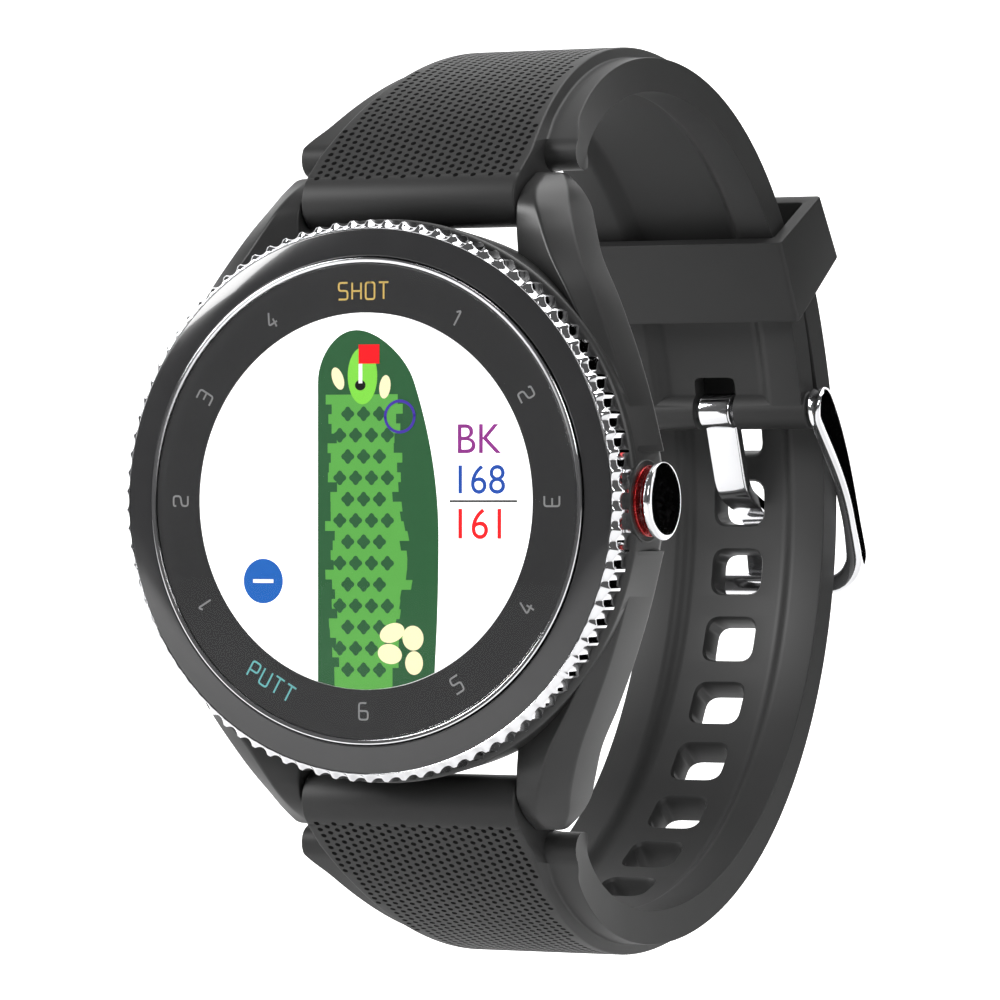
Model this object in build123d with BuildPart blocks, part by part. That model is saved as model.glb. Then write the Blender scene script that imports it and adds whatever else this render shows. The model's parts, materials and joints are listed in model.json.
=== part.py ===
from build123d import *
import os
from math import cos, radians, sin

# A wrist watch for golf: a round head with a turning bezel, on a buckled silicone strap.
# Frame, in millimetres: +Z points to 12 o'clock, +X to 3 o'clock (the button side), and -Y out of the glass.
# The origin is the middle of the case back's outer face. Heights in the head are measured from that face
# towards the glass, so a height h lies at Y = -h, on Plane.XZ.offset(h).

# ---------------------------------------------------------------- driving dimensions: head
CASE_RADIUS = 22.9
CASE_REAR_RADIUS = 22.35   # the side tapers a little towards the back
CASE_FOOT = 1.0            # height of the case's rear face, where the case back is seated
SHOULDER = 8.9             # height of the case's front shoulder, under the bezel
NECK_RADIUS = 20.5         # the bezel turns on this neck
NECK_TOP = 10.9
CAVITY_RADIUS = 18.45
LENS_RADIUS = 19.2
LENS_BACK = 12.05
LENS_FRONT = 12.55
DISPLAY_RADIUS = 15.2
RUNNING_GAP = 0.05         # radial clearance of a turning or sliding fit

BEZEL_RADIUS = 22.75
BEZEL_FOOT = 9.05
INSERT_SEAT = 11.1
INSERT_OUTER = 22.0
INSERT_INNER = 19.72
SCALLOPS = 90
SCALLOP_RADIUS = 0.75
SCALLOP_DEPTH = 0.3
CLICKS = 60

LUG_GAP = 20.0             # width between the lugs, for the strap
BAR_HEIGHT = 2.2           # lug bars: height, and distance from the middle of the head
BAR_REACH = 24.7

CHASSIS_RADIUS = 18.2
CHASSIS_FOOT = 2.0
CHASSIS_TOP = 9.4
BOARD_FOOT = 7.3
BOARD_TOP = 8.1
BOARD_RADIUS = 16.9

BUTTON_HEIGHT = 6.7
BUTTON_FACE = 22.85        # X of the boss under the button
BUTTON_BORE = 1.95
CAP_FOOT = 23.5
STEM_RADIUS = 0.8
STEM_END = 17.45

# ---------------------------------------------------------------- driving dimensions: strap
STRAP_START = Vector(-BAR_HEIGHT, BAR_REACH)     # (Y, Z) of the mid line's first point, on the lug bar
STRAP_HEADING = 40.5                  # its direction there, in degrees from +Y towards 12 o'clock
STRAIGHT = 4.5                        # length of the straight run behind each lug bar
SHOULDER_BEND = (36.6, 40.5)          # radius and sweep of each bend, from the lug round the wrist
UPPER_BENDS = [SHOULDER_BEND, (31.85, 25.0), (30.78, 39.4), (43.2, 15.0)]
LOWER_BENDS = [SHOULDER_BEND, (37.35, 25.0), (36.1, 80.8), (60.0, 14.0)]
UPPER_BAND_BENDS = [SHOULDER_BEND, (31.85, 25.0), (30.78, 15.0)]
STRAP_END_RADIUS = 2.4                # round end on each lug bar
STRAP_END_HALF = 9.7                  # half width of that end, between the lugs
RAIL_HALF = 1.45                      # half thickness of the strap's side rails
BAND_RISE = 0.95                      # how far the middle band stands over the rails
CHANNEL_DEPTH = 0.9                   # groove along the wrist side
CHANNEL_WIDTH = 9.2
STRAP_HALF = 8.8                      # half width behind the wrist
STRAP_HALF_LUG = 14.0                 # half width at the lugs
BAND_HALF = 6.8

HOLE_WIDTH = 4.7
HOLE_LENGTH = 4.0
HOLE_STEP = 10.25                     # degrees round the back of the wrist
HOLE_COUNT = 9

BUCKLE_BAR = Vector(56.8, 8.2)        # (Y, Z) of the buckle's bar
FRAME_HALF = 10.8
FRAME_WINDOW = 9.35
TONGUE_WIDTH = 3.1
KEEPER_CENTRE = Vector(14.4, 0.2)     # (Y, Z) that the keeper slides round
KEEPER_HALF = 10.3

os.makedirs("parts", exist_ok=True)
pieces = []


def finish(piece, label):
    """Name a finished piece and keep it for writing."""
    piece.part.label = label
    pieces.append(piece)


def turned_outline(*points):
    """Half outline of a turned piece, as (radius, height) points, for a revolve round Axis.Y."""
    with BuildLine() as outline:
        Polyline([(radius, -height) for radius, height in points], close=True)
    make_face(outline.edges())


def ring_outline(inner, outer, low, high):
    """Half outline of a plain ring or disc."""
    turned_outline((inner, low), (outer, low), (outer, high), (inner, high))


def button_outline(*points):
    """Half outline of a piece turned round the button's axis, as (X, radius) points."""
    with BuildLine() as outline:
        Polyline([(x, -BUTTON_HEIGHT + radius) for x, radius in points], close=True)
    make_face(outline.edges())


BUTTON_AXIS = Axis((0, -BUTTON_HEIGHT, 0), (1, 0, 0))

# ================================================================ case

# One lug, as nine flat-sided sections along Z. Each row: Z, front height at the inner face, the crease
# (X, height), the outer edge (X, front height, rear height), the lower edge (X) and the underside's height.
LUG_SECTIONS = [
    (4.0, 4.2, 19.0, 8.8, 22.5, 7.9, 2.9, 21.3, 1.0),
    (8.5, 4.2, 19.1, 8.7, 21.2, 7.4, 2.6, 20.2, 1.0),
    (12.6, 4.2, 18.6, 8.5, 19.7, 6.9, 2.2, 18.7, 1.0),
    (16.7, 4.1, 16.35, 7.9, 17.9, 6.4, 1.8, 17.0, 0.8),
    (20.0, 4.3, 14.0, 6.6, 16.1, 5.3, 1.1, 15.2, 0.2),
    (22.5, 4.6, 12.7, 5.6, 14.8, 3.9, -0.4, 14.0, -0.9),
    (24.2, 4.45, 11.9, 4.7, 13.9, 2.6, -1.4, 13.1, -1.8),
    (25.6, 3.1, 11.3, 3.2, 13.2, 1.5, -0.9, 12.6, -1.2),
    (26.8, 1.0, 10.9, 1.0, 12.3, 0.7, -0.1, 11.9, -0.3),
]
with BuildPart() as lugs:
    for z, front, crease_x, crease, edge_x, edge, rear, under_x, under in LUG_SECTIONS:
        with BuildSketch(Plane.XY.offset(z)):
            with BuildLine():
                Polyline(
                    (LUG_GAP / 2, -front), (crease_x, -crease), (edge_x, -edge),
                    (edge_x, -rear), (under_x, -under), (LUG_GAP / 2, -under), close=True,
                )
            make_face()
    loft(ruled=True)
    mirror(about=Plane.YZ)
    mirror(about=Plane.XY)

CASE_SCREWS = [(x, z) for x in (-13.3, 13.3) for z in (-15.85, 15.85)]
CLICK_GROOVE = Plane.XY.rotated((0, 118, 0))       # radial plane at the start of the click spring's groove
CLICK_ARC = 70
SHANK_RADIUS = 0.55
TIP_RADIUS = 0.4

with BuildPart() as case_body:
    with BuildSketch(Plane.XY):
        turned_outline(
            (0, CASE_FOOT), (21.6, CASE_FOOT), (CASE_REAR_RADIUS, 2.7), (CASE_RADIUS, SHOULDER - 0.4),
            (CASE_RADIUS - 0.4, SHOULDER), (NECK_RADIUS, SHOULDER), (NECK_RADIUS, NECK_TOP), (0, NECK_TOP),
        )
    revolve(axis=Axis.Y)
    add(lugs.part)
    with BuildSketch(Plane.XY):
        button_outline((20, 0), (20, 3.3), (BUTTON_FACE, 3.3), (BUTTON_FACE, 0))
    revolve(axis=BUTTON_AXIS)
    with BuildSketch(Plane.XY):
        ring_outline(0, CAVITY_RADIUS, CASE_FOOT - 3, NECK_TOP + 1)
        ring_outline(0, 20.7, CASE_FOOT - 3, CASE_FOOT)                      # seat of the case back
        ring_outline(NECK_RADIUS, 24, SHOULDER, NECK_TOP + 1)                # room for the bezel
        ring_outline(NECK_RADIUS - 0.35, NECK_RADIUS + 0.5, 9.75, 10.25)     # groove for the retaining wire
    revolve(axis=Axis.Y, mode=Mode.SUBTRACT)
    with BuildSketch(CLICK_GROOVE):
        ring_outline(21.1, 22.0, SHOULDER - 0.4, SHOULDER + 0.1)             # groove for the click spring
    revolve(axis=Axis.Y, revolution_arc=CLICK_ARC + 4, mode=Mode.SUBTRACT)
    # button: flat seat, spring bore and stem bore
    with BuildSketch(Plane.XY):
        button_outline((BUTTON_FACE, 0), (BUTTON_FACE, 3.3), (25, 3.3), (25, 0))
        button_outline((20.6, 0), (20.6, BUTTON_BORE), (25, BUTTON_BORE), (25, 0))
        button_outline((17, 0), (17, STEM_RADIUS + RUNNING_GAP), (25, STEM_RADIUS + RUNNING_GAP), (25, 0))
    revolve(axis=BUTTON_AXIS, mode=Mode.SUBTRACT)
    # screw holes in the rear face
    with BuildSketch(Plane.XZ.offset(CASE_FOOT)):
        with Locations(*CASE_SCREWS):
            Circle(SHANK_RADIUS)
    extrude(amount=3.2, mode=Mode.SUBTRACT)
    with BuildSketch(Plane.XZ.offset(CASE_FOOT)):
        with Locations(*CASE_SCREWS):
            Circle(1.55)
    extrude(amount=-3, mode=Mode.SUBTRACT)
    # hollow behind each strap end, and sockets for the lug bars' tips
    for z in (-BAR_REACH, BAR_REACH):
        with BuildSketch(Plane.YZ.offset(-LUG_GAP / 2)):
            with Locations((-BAR_HEIGHT, z)):
                Circle(STRAP_END_RADIUS + 0.2)
        extrude(amount=LUG_GAP, mode=Mode.SUBTRACT)
        with BuildSketch(Plane.YZ.offset(-LUG_GAP / 2 - 1.1)):
            with Locations((-BAR_HEIGHT, z)):
                Circle(TIP_RADIUS + RUNNING_GAP)
        extrude(amount=LUG_GAP + 2.2, mode=Mode.SUBTRACT)
finish(case_body, "case_body")

with BuildPart() as case_back:
    with BuildSketch(Plane.XZ):
        Circle(20.6)
        with Locations(*CASE_SCREWS):
            Circle(1.45)
    extrude(amount=CASE_FOOT)
    with BuildSketch(Plane.XY):
        ring_outline(0, 18.35, CASE_FOOT, CHASSIS_FOOT)
    revolve(axis=Axis.Y)
    with BuildSketch(Plane.XY):
        ring_outline(18.6, 19.3, 0.4, 1.5)                                   # groove for the seal
        turned_outline((14.4, -1), (14.7, -1), (14.7, 0.15), (14.4, 0.15))    # fine line round the back
    revolve(axis=Axis.Y, mode=Mode.SUBTRACT)
    with BuildSketch(Plane.XZ):
        with Locations(*CASE_SCREWS):
            Circle(1.0)
    extrude(amount=0.45, mode=Mode.SUBTRACT)
    with BuildSketch(Plane.XZ):
        with Locations(*CASE_SCREWS):
            Circle(SHANK_RADIUS)
    extrude(amount=2, mode=Mode.SUBTRACT)
    with BuildSketch(Plane.XZ):
        with Locations((0, -9)):
            SlotOverall(12.4, 3.4)
    extrude(amount=3, mode=Mode.SUBTRACT)
finish(case_back, "case_back")

with BuildPart() as case_back_gasket:
    with BuildSketch(Plane.XY):
        ring_outline(18.6, 19.3, 0.4, CASE_FOOT)
    revolve(axis=Axis.Y)
finish(case_back_gasket, "case_back_gasket")

with BuildPart() as case_back_screws:
    with BuildSketch(Plane.XZ.offset(0.05)):
        with Locations(*CASE_SCREWS):
            Circle(0.95)
    extrude(amount=0.4)
    with BuildSketch(Plane.XZ.offset(0.45)):
        with Locations(*CASE_SCREWS):
            Circle(SHANK_RADIUS)
    extrude(amount=3.4)
    with BuildSketch(Plane.XZ.offset(0.05)):
        with Locations(*CASE_SCREWS):
            RegularPolygon(0.45, 6)
    extrude(amount=0.3, mode=Mode.SUBTRACT)
finish(case_back_screws, "case_back_screws")

CONTACTS = [(x, -9) for x in (-4.2, -1.4, 1.4, 4.2)]
with BuildPart() as contact_insulator:
    with BuildSketch(Plane.XZ.offset(0.1)):
        with Locations((0, -9)):
            SlotOverall(12.4, 3.4)
        with Locations(*CONTACTS):
            Circle(0.8, mode=Mode.SUBTRACT)
    extrude(amount=CHASSIS_FOOT - 0.1)
finish(contact_insulator, "contact_insulator")

with BuildPart() as charging_contacts:
    with BuildSketch(Plane.XZ.offset(0.05)):
        with Locations(*CONTACTS):
            Circle(0.8)
    extrude(amount=CHASSIS_FOOT - 0.05)
finish(charging_contacts, "charging_contacts")

# ================================================================ glass and display

with BuildPart() as bezel_trim_ring:
    with BuildSketch(Plane.XY):
        turned_outline(
            (LENS_RADIUS + 0.05, NECK_TOP), (19.65, NECK_TOP), (19.65, 12.1), (19.55, 12.25),
            (19.35, 12.25), (LENS_RADIUS + 0.05, 12.15),
        )
    revolve(axis=Axis.Y)
finish(bezel_trim_ring, "bezel_trim_ring")

with BuildPart() as lens:
    with BuildSketch(Plane.XY):
        turned_outline(
            (0, LENS_BACK), (LENS_RADIUS, LENS_BACK), (LENS_RADIUS, LENS_FRONT - 0.25),
            (LENS_RADIUS - 0.3, LENS_FRONT), (0, LENS_FRONT),
        )
    revolve(axis=Axis.Y)
finish(lens, "lens")

SCALE_FOOT = 11.6
with BuildPart() as scale_ring:
    with BuildSketch(Plane.XY):
        turned_outline(
            (DISPLAY_RADIUS + 0.1, SCALE_FOOT), (LENS_RADIUS, SCALE_FOOT), (LENS_RADIUS, LENS_BACK),
            (DISPLAY_RADIUS + 0.2, LENS_BACK), (DISPLAY_RADIUS + 0.1, LENS_BACK - 0.1),
        )
    revolve(axis=Axis.Y)
finish(scale_ring, "scale_ring")

with BuildPart() as lens_gasket:
    with BuildSketch(Plane.XY):
        ring_outline(CAVITY_RADIUS, LENS_RADIUS, NECK_TOP, SCALE_FOOT)
    revolve(axis=Axis.Y)
finish(lens_gasket, "lens_gasket")

PANEL_FOOT = 10.4
with BuildPart() as display_panel:
    with BuildSketch(Plane.XY):
        ring_outline(0, DISPLAY_RADIUS, PANEL_FOOT, LENS_BACK - 0.05)
    revolve(axis=Axis.Y)
finish(display_panel, "display_panel")

with BuildPart() as display_frame:
    with BuildSketch(Plane.XY):
        turned_outline(
            (14.2, CHASSIS_TOP), (18.3, CHASSIS_TOP), (18.3, SCALE_FOOT), (DISPLAY_RADIUS, SCALE_FOOT),
            (DISPLAY_RADIUS, PANEL_FOOT), (14.2, PANEL_FOOT),
        )
    revolve(axis=Axis.Y)
    with BuildSketch(Plane.XZ.offset(CHASSIS_TOP)):
        with PolarLocations(16.8, 8):
            Rectangle(1.6, 5.0)
    extrude(amount=1.2, mode=Mode.SUBTRACT)                                   # weight-saving pockets
finish(display_frame, "display_frame")

FLEX_THICKNESS = 0.12
FLEX_BEND = (PANEL_FOOT - BOARD_TOP - FLEX_THICKNESS) / 2
with BuildPart() as display_flex:
    with BuildSketch(Plane.YZ.offset(-3.5)):
        with BuildLine():
            top_run = Line((-PANEL_FOOT + FLEX_THICKNESS / 2, -4), (-PANEL_FOOT + FLEX_THICKNESS / 2, -11))
            fold = JernArc(top_run @ 1, top_run % 1, FLEX_BEND, 180)
            Line(fold @ 1, (fold @ 1) + Vector(0, 5))
        trace(line_width=FLEX_THICKNESS)
    extrude(amount=7)
finish(display_flex, "display_flex")

# ================================================================ inside the case

BATTERY_CENTRE = (-1.5, -5.0)
MOTOR_CENTRE = (10.6, 7.6)
ANTENNA_CENTRE = (0, 11.2)
BOARD_SCREWS = [(-12.6, 7.2), (11.6, -9.5), (-6.9, 13.4)]

with BuildPart() as inner_chassis:
    with BuildSketch(Plane.XY):
        ring_outline(0, CHASSIS_RADIUS, CHASSIS_FOOT, CHASSIS_TOP)
    revolve(axis=Axis.Y)
    with BuildSketch(Plane.XZ.offset(BOARD_FOOT)):
        Circle(BOARD_RADIUS + 0.1)
    extrude(amount=3, mode=Mode.SUBTRACT)
    with BuildSketch(Plane.XZ.offset(BOARD_FOOT)):
        with Locations(BATTERY_CENTRE):
            RectangleRounded(21.4, 13.4, 1.2)
    extrude(amount=-8, mode=Mode.SUBTRACT)
    with BuildSketch(Plane.XZ.offset(BOARD_FOOT)):
        with Locations(ANTENNA_CENTRE):
            Rectangle(10.4, 10.4)
    extrude(amount=-3.3, mode=Mode.SUBTRACT)
    with BuildSketch(Plane.XZ.offset(BOARD_FOOT)):
        with Locations(MOTOR_CENTRE):
            Circle(4.1)
    extrude(amount=-4.0, mode=Mode.SUBTRACT)
    with BuildSketch(Plane.XZ.offset(BOARD_FOOT)):
        with Locations((16.2, 0)):
            Rectangle(4.8, 6.0)                                               # room for the switch
    extrude(amount=-2.3, mode=Mode.SUBTRACT)
    with BuildSketch(Plane.XZ.offset(BOARD_FOOT)):
        with Locations((17.6, 0)):
            Rectangle(2.4, 4.0)                                               # room for the button's clip
    extrude(amount=1.2, mode=Mode.SUBTRACT)
    with BuildSketch(Plane.XZ.offset(BOARD_FOOT)):
        with Locations(*BOARD_SCREWS):
            Circle(0.5)
    extrude(amount=-3.0, mode=Mode.SUBTRACT)
finish(inner_chassis, "inner_chassis")

with BuildPart() as main_board:
    with BuildSketch(Plane.XZ.offset(BOARD_FOOT)):
        Circle(BOARD_RADIUS)
        with Locations(*BOARD_SCREWS):
            Circle(0.5, mode=Mode.SUBTRACT)
        with PolarLocations(BOARD_RADIUS, 3, start_angle=40):
            Circle(1.0, mode=Mode.SUBTRACT)
    extrude(amount=BOARD_TOP - BOARD_FOOT)
finish(main_board, "main_board")

# Each chip: X, Z, width, length and thickness.
CHIPS = [
    (-7.5, 2.0, 6.0, 6.0, 0.9), (1.5, 3.5, 5.0, 4.0, 0.8), (8.5, 1.5, 4.0, 4.0, 0.9),
    (-9.5, -6.0, 4.0, 5.0, 0.8), (8.0, -6.0, 3.0, 3.0, 0.7), (2.0, 10.0, 7.0, 4.0, 0.9),
    (-2.5, 10.0, 1.0, 0.5, 0.4), (-2.5, 8.5, 1.0, 0.5, 0.4), (12.5, 5.5, 1.6, 0.8, 0.5),
]
with BuildPart() as board_chips:
    for x, z, width, length, thickness in CHIPS:
        with BuildSketch(Plane.XZ.offset(BOARD_TOP)):
            with Locations((x, z)):
                Rectangle(width, length)
        extrude(amount=thickness)
finish(board_chips, "board_chips")

with BuildPart() as board_screws:
    with BuildSketch(Plane.XZ.offset(BOARD_TOP)):
        with Locations(*BOARD_SCREWS):
            Circle(1.0)
    extrude(amount=0.6)
    with BuildSketch(Plane.XZ.offset(BOARD_TOP)):
        with Locations(*BOARD_SCREWS):
            Circle(0.5)
    extrude(amount=-3.6)
finish(board_screws, "board_screws")

with BuildPart() as gps_antenna:
    with BuildSketch(Plane.XZ.offset(BOARD_FOOT)):
        with Locations(ANTENNA_CENTRE):
            Rectangle(10, 10)
    extrude(amount=-3.0)
    chamfer(gps_antenna.edges().filter_by(Axis.Y), 0.6)
finish(gps_antenna, "gps_antenna")

with BuildPart() as battery:
    with BuildSketch(Plane.XZ.offset(CHASSIS_FOOT + 0.1)):
        with Locations(BATTERY_CENTRE):
            RectangleRounded(21, 13, 1.1)
    extrude(amount=4.9)
    fillet(battery.edges().group_by(Axis.Y)[0], 0.5)
    fillet(battery.edges().group_by(Axis.Y)[-1], 0.5)
finish(battery, "battery")

MOTOR_FOOT = 3.4
MOTOR_TOP = 6.6
with BuildPart() as vibration_motor_case:
    with BuildSketch(Plane.XZ.offset(MOTOR_FOOT)):
        with Locations(MOTOR_CENTRE):
            Circle(4.0)
    extrude(amount=MOTOR_TOP - MOTOR_FOOT)
    with BuildSketch(Plane.XZ.offset(MOTOR_FOOT + 0.4)):
        with Locations(MOTOR_CENTRE):
            Circle(3.6)
            Circle(0.4, mode=Mode.SUBTRACT)                                   # the fixed axle
    extrude(amount=MOTOR_TOP - MOTOR_FOOT - 0.8, mode=Mode.SUBTRACT)
finish(vibration_motor_case, "vibration_motor_case")

with BuildPart() as vibration_rotor:
    with BuildSketch(Plane.XZ.offset(MOTOR_FOOT + 0.6)):
        with Locations(MOTOR_CENTRE):
            Circle(3.3)
            Rectangle(8, 4, align=(Align.CENTER, Align.MAX), mode=Mode.SUBTRACT)
            Circle(1.0)
            Circle(0.4 + RUNNING_GAP, mode=Mode.SUBTRACT)
    extrude(amount=MOTOR_TOP - MOTOR_FOOT - 1.2)
finish(vibration_rotor, "vibration_rotor")

# ================================================================ bezel

with BuildPart() as bezel_grip_ring:
    with BuildSketch(Plane.XY):
        turned_outline(
            (NECK_RADIUS + RUNNING_GAP, BEZEL_FOOT), (BEZEL_RADIUS - 0.25, BEZEL_FOOT),
            (BEZEL_RADIUS, BEZEL_FOOT + 0.25), (BEZEL_RADIUS, 11.2), (22.1, 11.7), (INSERT_OUTER + 0.02, 11.7),
            (INSERT_OUTER + 0.02, INSERT_SEAT), (NECK_RADIUS + RUNNING_GAP, INSERT_SEAT),
        )
    revolve(axis=Axis.Y)
    with BuildSketch(Plane.XY):
        ring_outline(NECK_RADIUS - 0.2, 20.95, 9.65, 10.35)                   # groove over the retaining wire
    revolve(axis=Axis.Y, mode=Mode.SUBTRACT)
    with BuildSketch(Plane.XZ.offset(BEZEL_FOOT - 1)):
        with PolarLocations(BEZEL_RADIUS + SCALLOP_RADIUS - SCALLOP_DEPTH, SCALLOPS):
            Circle(SCALLOP_RADIUS)
    extrude(amount=5, mode=Mode.SUBTRACT)
    with BuildSketch(Plane.XZ.offset(BEZEL_FOOT - 0.2)):
        with PolarLocations(21.55, CLICKS):
            Rectangle(0.7, 0.8)                                               # notches for the click spring
    extrude(amount=0.45, mode=Mode.SUBTRACT)
finish(bezel_grip_ring, "bezel_grip_ring")

with BuildPart() as bezel_insert:
    with BuildSketch(Plane.XY):
        turned_outline(
            (INSERT_INNER, INSERT_SEAT), (INSERT_OUTER, INSERT_SEAT), (INSERT_OUTER, 11.62),
            (INSERT_OUTER - 0.1, 11.72), (INSERT_INNER + 0.12, 12.02), (INSERT_INNER, 11.92),
        )
    revolve(axis=Axis.Y)
finish(bezel_insert, "bezel_insert")

with BuildPart() as bezel_retaining_ring:
    with BuildSketch(Plane.XY):
        ring_outline(NECK_RADIUS - 0.3, NECK_RADIUS + 0.3, 9.8, 10.2)
    revolve(axis=Axis.Y, revolution_arc=352)
finish(bezel_retaining_ring, "bezel_retaining_ring")

with BuildPart() as bezel_click_spring:
    with BuildSketch(CLICK_GROOVE.rotated((0, 2, 0))):
        ring_outline(21.2, 21.9, SHOULDER - 0.4, SHOULDER - 0.2)
    revolve(axis=Axis.Y, revolution_arc=CLICK_ARC)
    with BuildSketch(CLICK_GROOVE.rotated((0, 3, 0))):
        ring_outline(21.3, 21.8, SHOULDER - 0.3, SHOULDER + 0.1)
    revolve(axis=Axis.Y, revolution_arc=1.4)
finish(bezel_click_spring, "bezel_click_spring")

# ================================================================ side button

with BuildPart() as button_cap:
    with BuildSketch(Plane.XY):
        with BuildLine():
            Polyline(
                (24.3, -BUTTON_HEIGHT + 2.6), (24.1, -BUTTON_HEIGHT + 3.15), (CAP_FOOT + 0.15, -BUTTON_HEIGHT + 3.15),
                (CAP_FOOT, -BUTTON_HEIGHT + 3.0), (CAP_FOOT, -BUTTON_HEIGHT), (24.6, -BUTTON_HEIGHT),
            )
            ThreePointArc(
                (24.6, -BUTTON_HEIGHT), (24.53, -BUTTON_HEIGHT + 1.3), (24.3, -BUTTON_HEIGHT + 2.6),
            )
        make_face()
    revolve(axis=BUTTON_AXIS)
    with BuildSketch(Plane.XY):
        button_outline((CAP_FOOT, 0), (CAP_FOOT, STEM_RADIUS), (24.1, STEM_RADIUS), (24.1, 0))
    revolve(axis=BUTTON_AXIS, mode=Mode.SUBTRACT)
finish(button_cap, "button_cap")

with BuildPart() as button_stem:
    with BuildSketch(Plane.XY):
        button_outline(
            (STEM_END, 0), (STEM_END, STEM_RADIUS), (17.9, STEM_RADIUS), (17.9, 0.5), (18.15, 0.5),
            (18.15, STEM_RADIUS), (24.1, STEM_RADIUS), (24.1, 0),
        )
    revolve(axis=BUTTON_AXIS)
finish(button_stem, "button_stem")

with BuildPart() as button_clip:
    with BuildSketch(Plane.YZ.offset(17.9)):
        with Locations((-BUTTON_HEIGHT, 0)):
            Circle(1.5)
            Circle(0.5, mode=Mode.SUBTRACT)
            Rectangle(3, 0.8, align=(Align.MIN, Align.CENTER), mode=Mode.SUBTRACT)
    extrude(amount=0.25)
finish(button_clip, "button_clip")

with BuildPart() as button_red_ring:
    with BuildSketch(Plane.XY):
        button_outline(
            (BUTTON_FACE, BUTTON_BORE), (BUTTON_FACE, 3.25), (BUTTON_FACE + 0.17, 3.25),
            (BUTTON_FACE + 0.25, 3.15), (BUTTON_FACE + 0.25, BUTTON_BORE),
        )
    revolve(axis=BUTTON_AXIS)
finish(button_red_ring, "button_red_ring")

with BuildPart() as button_seal:
    with BuildSketch(Plane.XY):
        seal_inner = STEM_RADIUS + RUNNING_GAP
        button_outline((20.6, seal_inner), (20.6, BUTTON_BORE), (21.3, BUTTON_BORE), (21.3, seal_inner))
    revolve(axis=BUTTON_AXIS)
finish(button_seal, "button_seal")


def coil(pitch, length, radius, wire, start, direction):
    """A coil spring that starts at a point and runs along a direction."""
    with BuildPart() as spring:
        with BuildLine() as path:
            Helix(pitch, length, radius, center=start, direction=direction)
        with BuildSketch(Plane(origin=path.line @ 0, z_dir=path.line % 0)):
            Circle(wire)
        sweep(is_frenet=True)
    return spring


button_spring = coil(0.6, 1.8, 1.4, 0.16, (21.5, -BUTTON_HEIGHT, 0), (1, 0, 0))
finish(button_spring, "button_spring")

SWITCH_FACE = 16.9
with BuildPart() as tact_switch:
    with BuildSketch(Plane.XZ.offset(BOARD_FOOT)):
        with Locations((SWITCH_FACE, 0)):
            Rectangle(2.6, 4.4, align=(Align.MAX, Align.CENTER))
    extrude(amount=-1.7)
    with BuildSketch(Plane.YZ.offset(SWITCH_FACE)):
        with Locations((-BUTTON_HEIGHT + 0.05, 0)):
            Rectangle(0.9 + 2 * RUNNING_GAP, 1.8 + 2 * RUNNING_GAP)
    extrude(amount=-1.5, mode=Mode.SUBTRACT)
finish(tact_switch, "tact_switch")

with BuildPart() as switch_plunger:
    with BuildSketch(Plane.YZ.offset(SWITCH_FACE - 0.9)):
        with Locations((-BUTTON_HEIGHT + 0.05, 0)):
            Rectangle(0.9, 1.8)
    extrude(amount=0.9 + 0.5)
finish(switch_plunger, "switch_plunger")

# ================================================================ spring bars

BAR_RADIUS = 0.9
BAR_BORE = 0.6
PISTON_RADIUS = BAR_BORE - RUNNING_GAP
PISTON_LENGTH = 2.0
END_WALL = 0.3


def spring_bar(label, y, z, half_length, pin_end):
    """A spring bar along X: tube, two sliding tips and the spring between them."""
    bar_axis = Axis((0, y, z), (1, 0, 0))
    shelf = half_length - END_WALL
    with BuildPart() as tube:
        with BuildSketch(Plane.YZ.offset(-half_length)):
            with Locations((y, z)):
                Circle(BAR_RADIUS)
        extrude(amount=2 * half_length)
        with BuildSketch(Plane.YZ.offset(-shelf)):
            with Locations((y, z)):
                Circle(BAR_BORE)
        extrude(amount=2 * shelf, mode=Mode.SUBTRACT)
        with BuildSketch(Plane.YZ.offset(-half_length)):
            with Locations((y, z)):
                Circle(TIP_RADIUS + RUNNING_GAP)
        extrude(amount=2 * half_length, mode=Mode.SUBTRACT)
    finish(tube, label + "_tube")
    for side, name in ((-1, "_left_tip"), (1, "_right_tip")):
        with BuildPart() as tip:
            with BuildSketch(Plane.XY.offset(z)):
                with BuildLine():
                    Polyline(
                        (side * (shelf - PISTON_LENGTH), y), (side * (shelf - PISTON_LENGTH), y + PISTON_RADIUS),
                        (side * shelf, y + PISTON_RADIUS), (side * shelf, y + TIP_RADIUS),
                        (side * (pin_end - 0.15), y + TIP_RADIUS), (side * pin_end, y + TIP_RADIUS - 0.15),
                        (side * pin_end, y), close=True,
                    )
                make_face()
            revolve(axis=bar_axis)
        finish(tip, label + name)
    spring_half = shelf - PISTON_LENGTH - 0.15
    spring = coil(1.3, 2 * spring_half, 0.42, 0.09, (-spring_half, y, z), (1, 0, 0))
    finish(spring, label + "_spring")


spring_bar("upper_bar", -BAR_HEIGHT, BAR_REACH, 9.2, 10.9)
spring_bar("lower_bar", -BAR_HEIGHT, -BAR_REACH, 9.2, 10.9)
spring_bar("buckle_bar", BUCKLE_BAR.X, BUCKLE_BAR.Y, 8.9, 10.2)

# ================================================================ strap


def strap_outline(bends, low, high):
    """Side outline of a strap, in (Y, Z), between two offsets from its mid line."""
    heading = Vector(cos(radians(STRAP_HEADING)), sin(radians(STRAP_HEADING)))
    outward = Vector(-heading.Y, heading.X)
    corners = []
    with BuildLine() as outline:
        for offset in (low, high):
            point = STRAP_START + outward * offset
            tangent = heading
            corners.append(point)
            run = Line(point, point + heading * STRAIGHT)
            point = run @ 1
            for radius, sweep_angle in bends:
                bend = JernArc(point, tangent, radius + offset, -sweep_angle)
                point = bend @ 1
                tangent = bend % 1
            corners.append(point)
        Line(corners[0], corners[2])
        Line(corners[1], corners[3])
    make_face(outline.edges())


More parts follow.
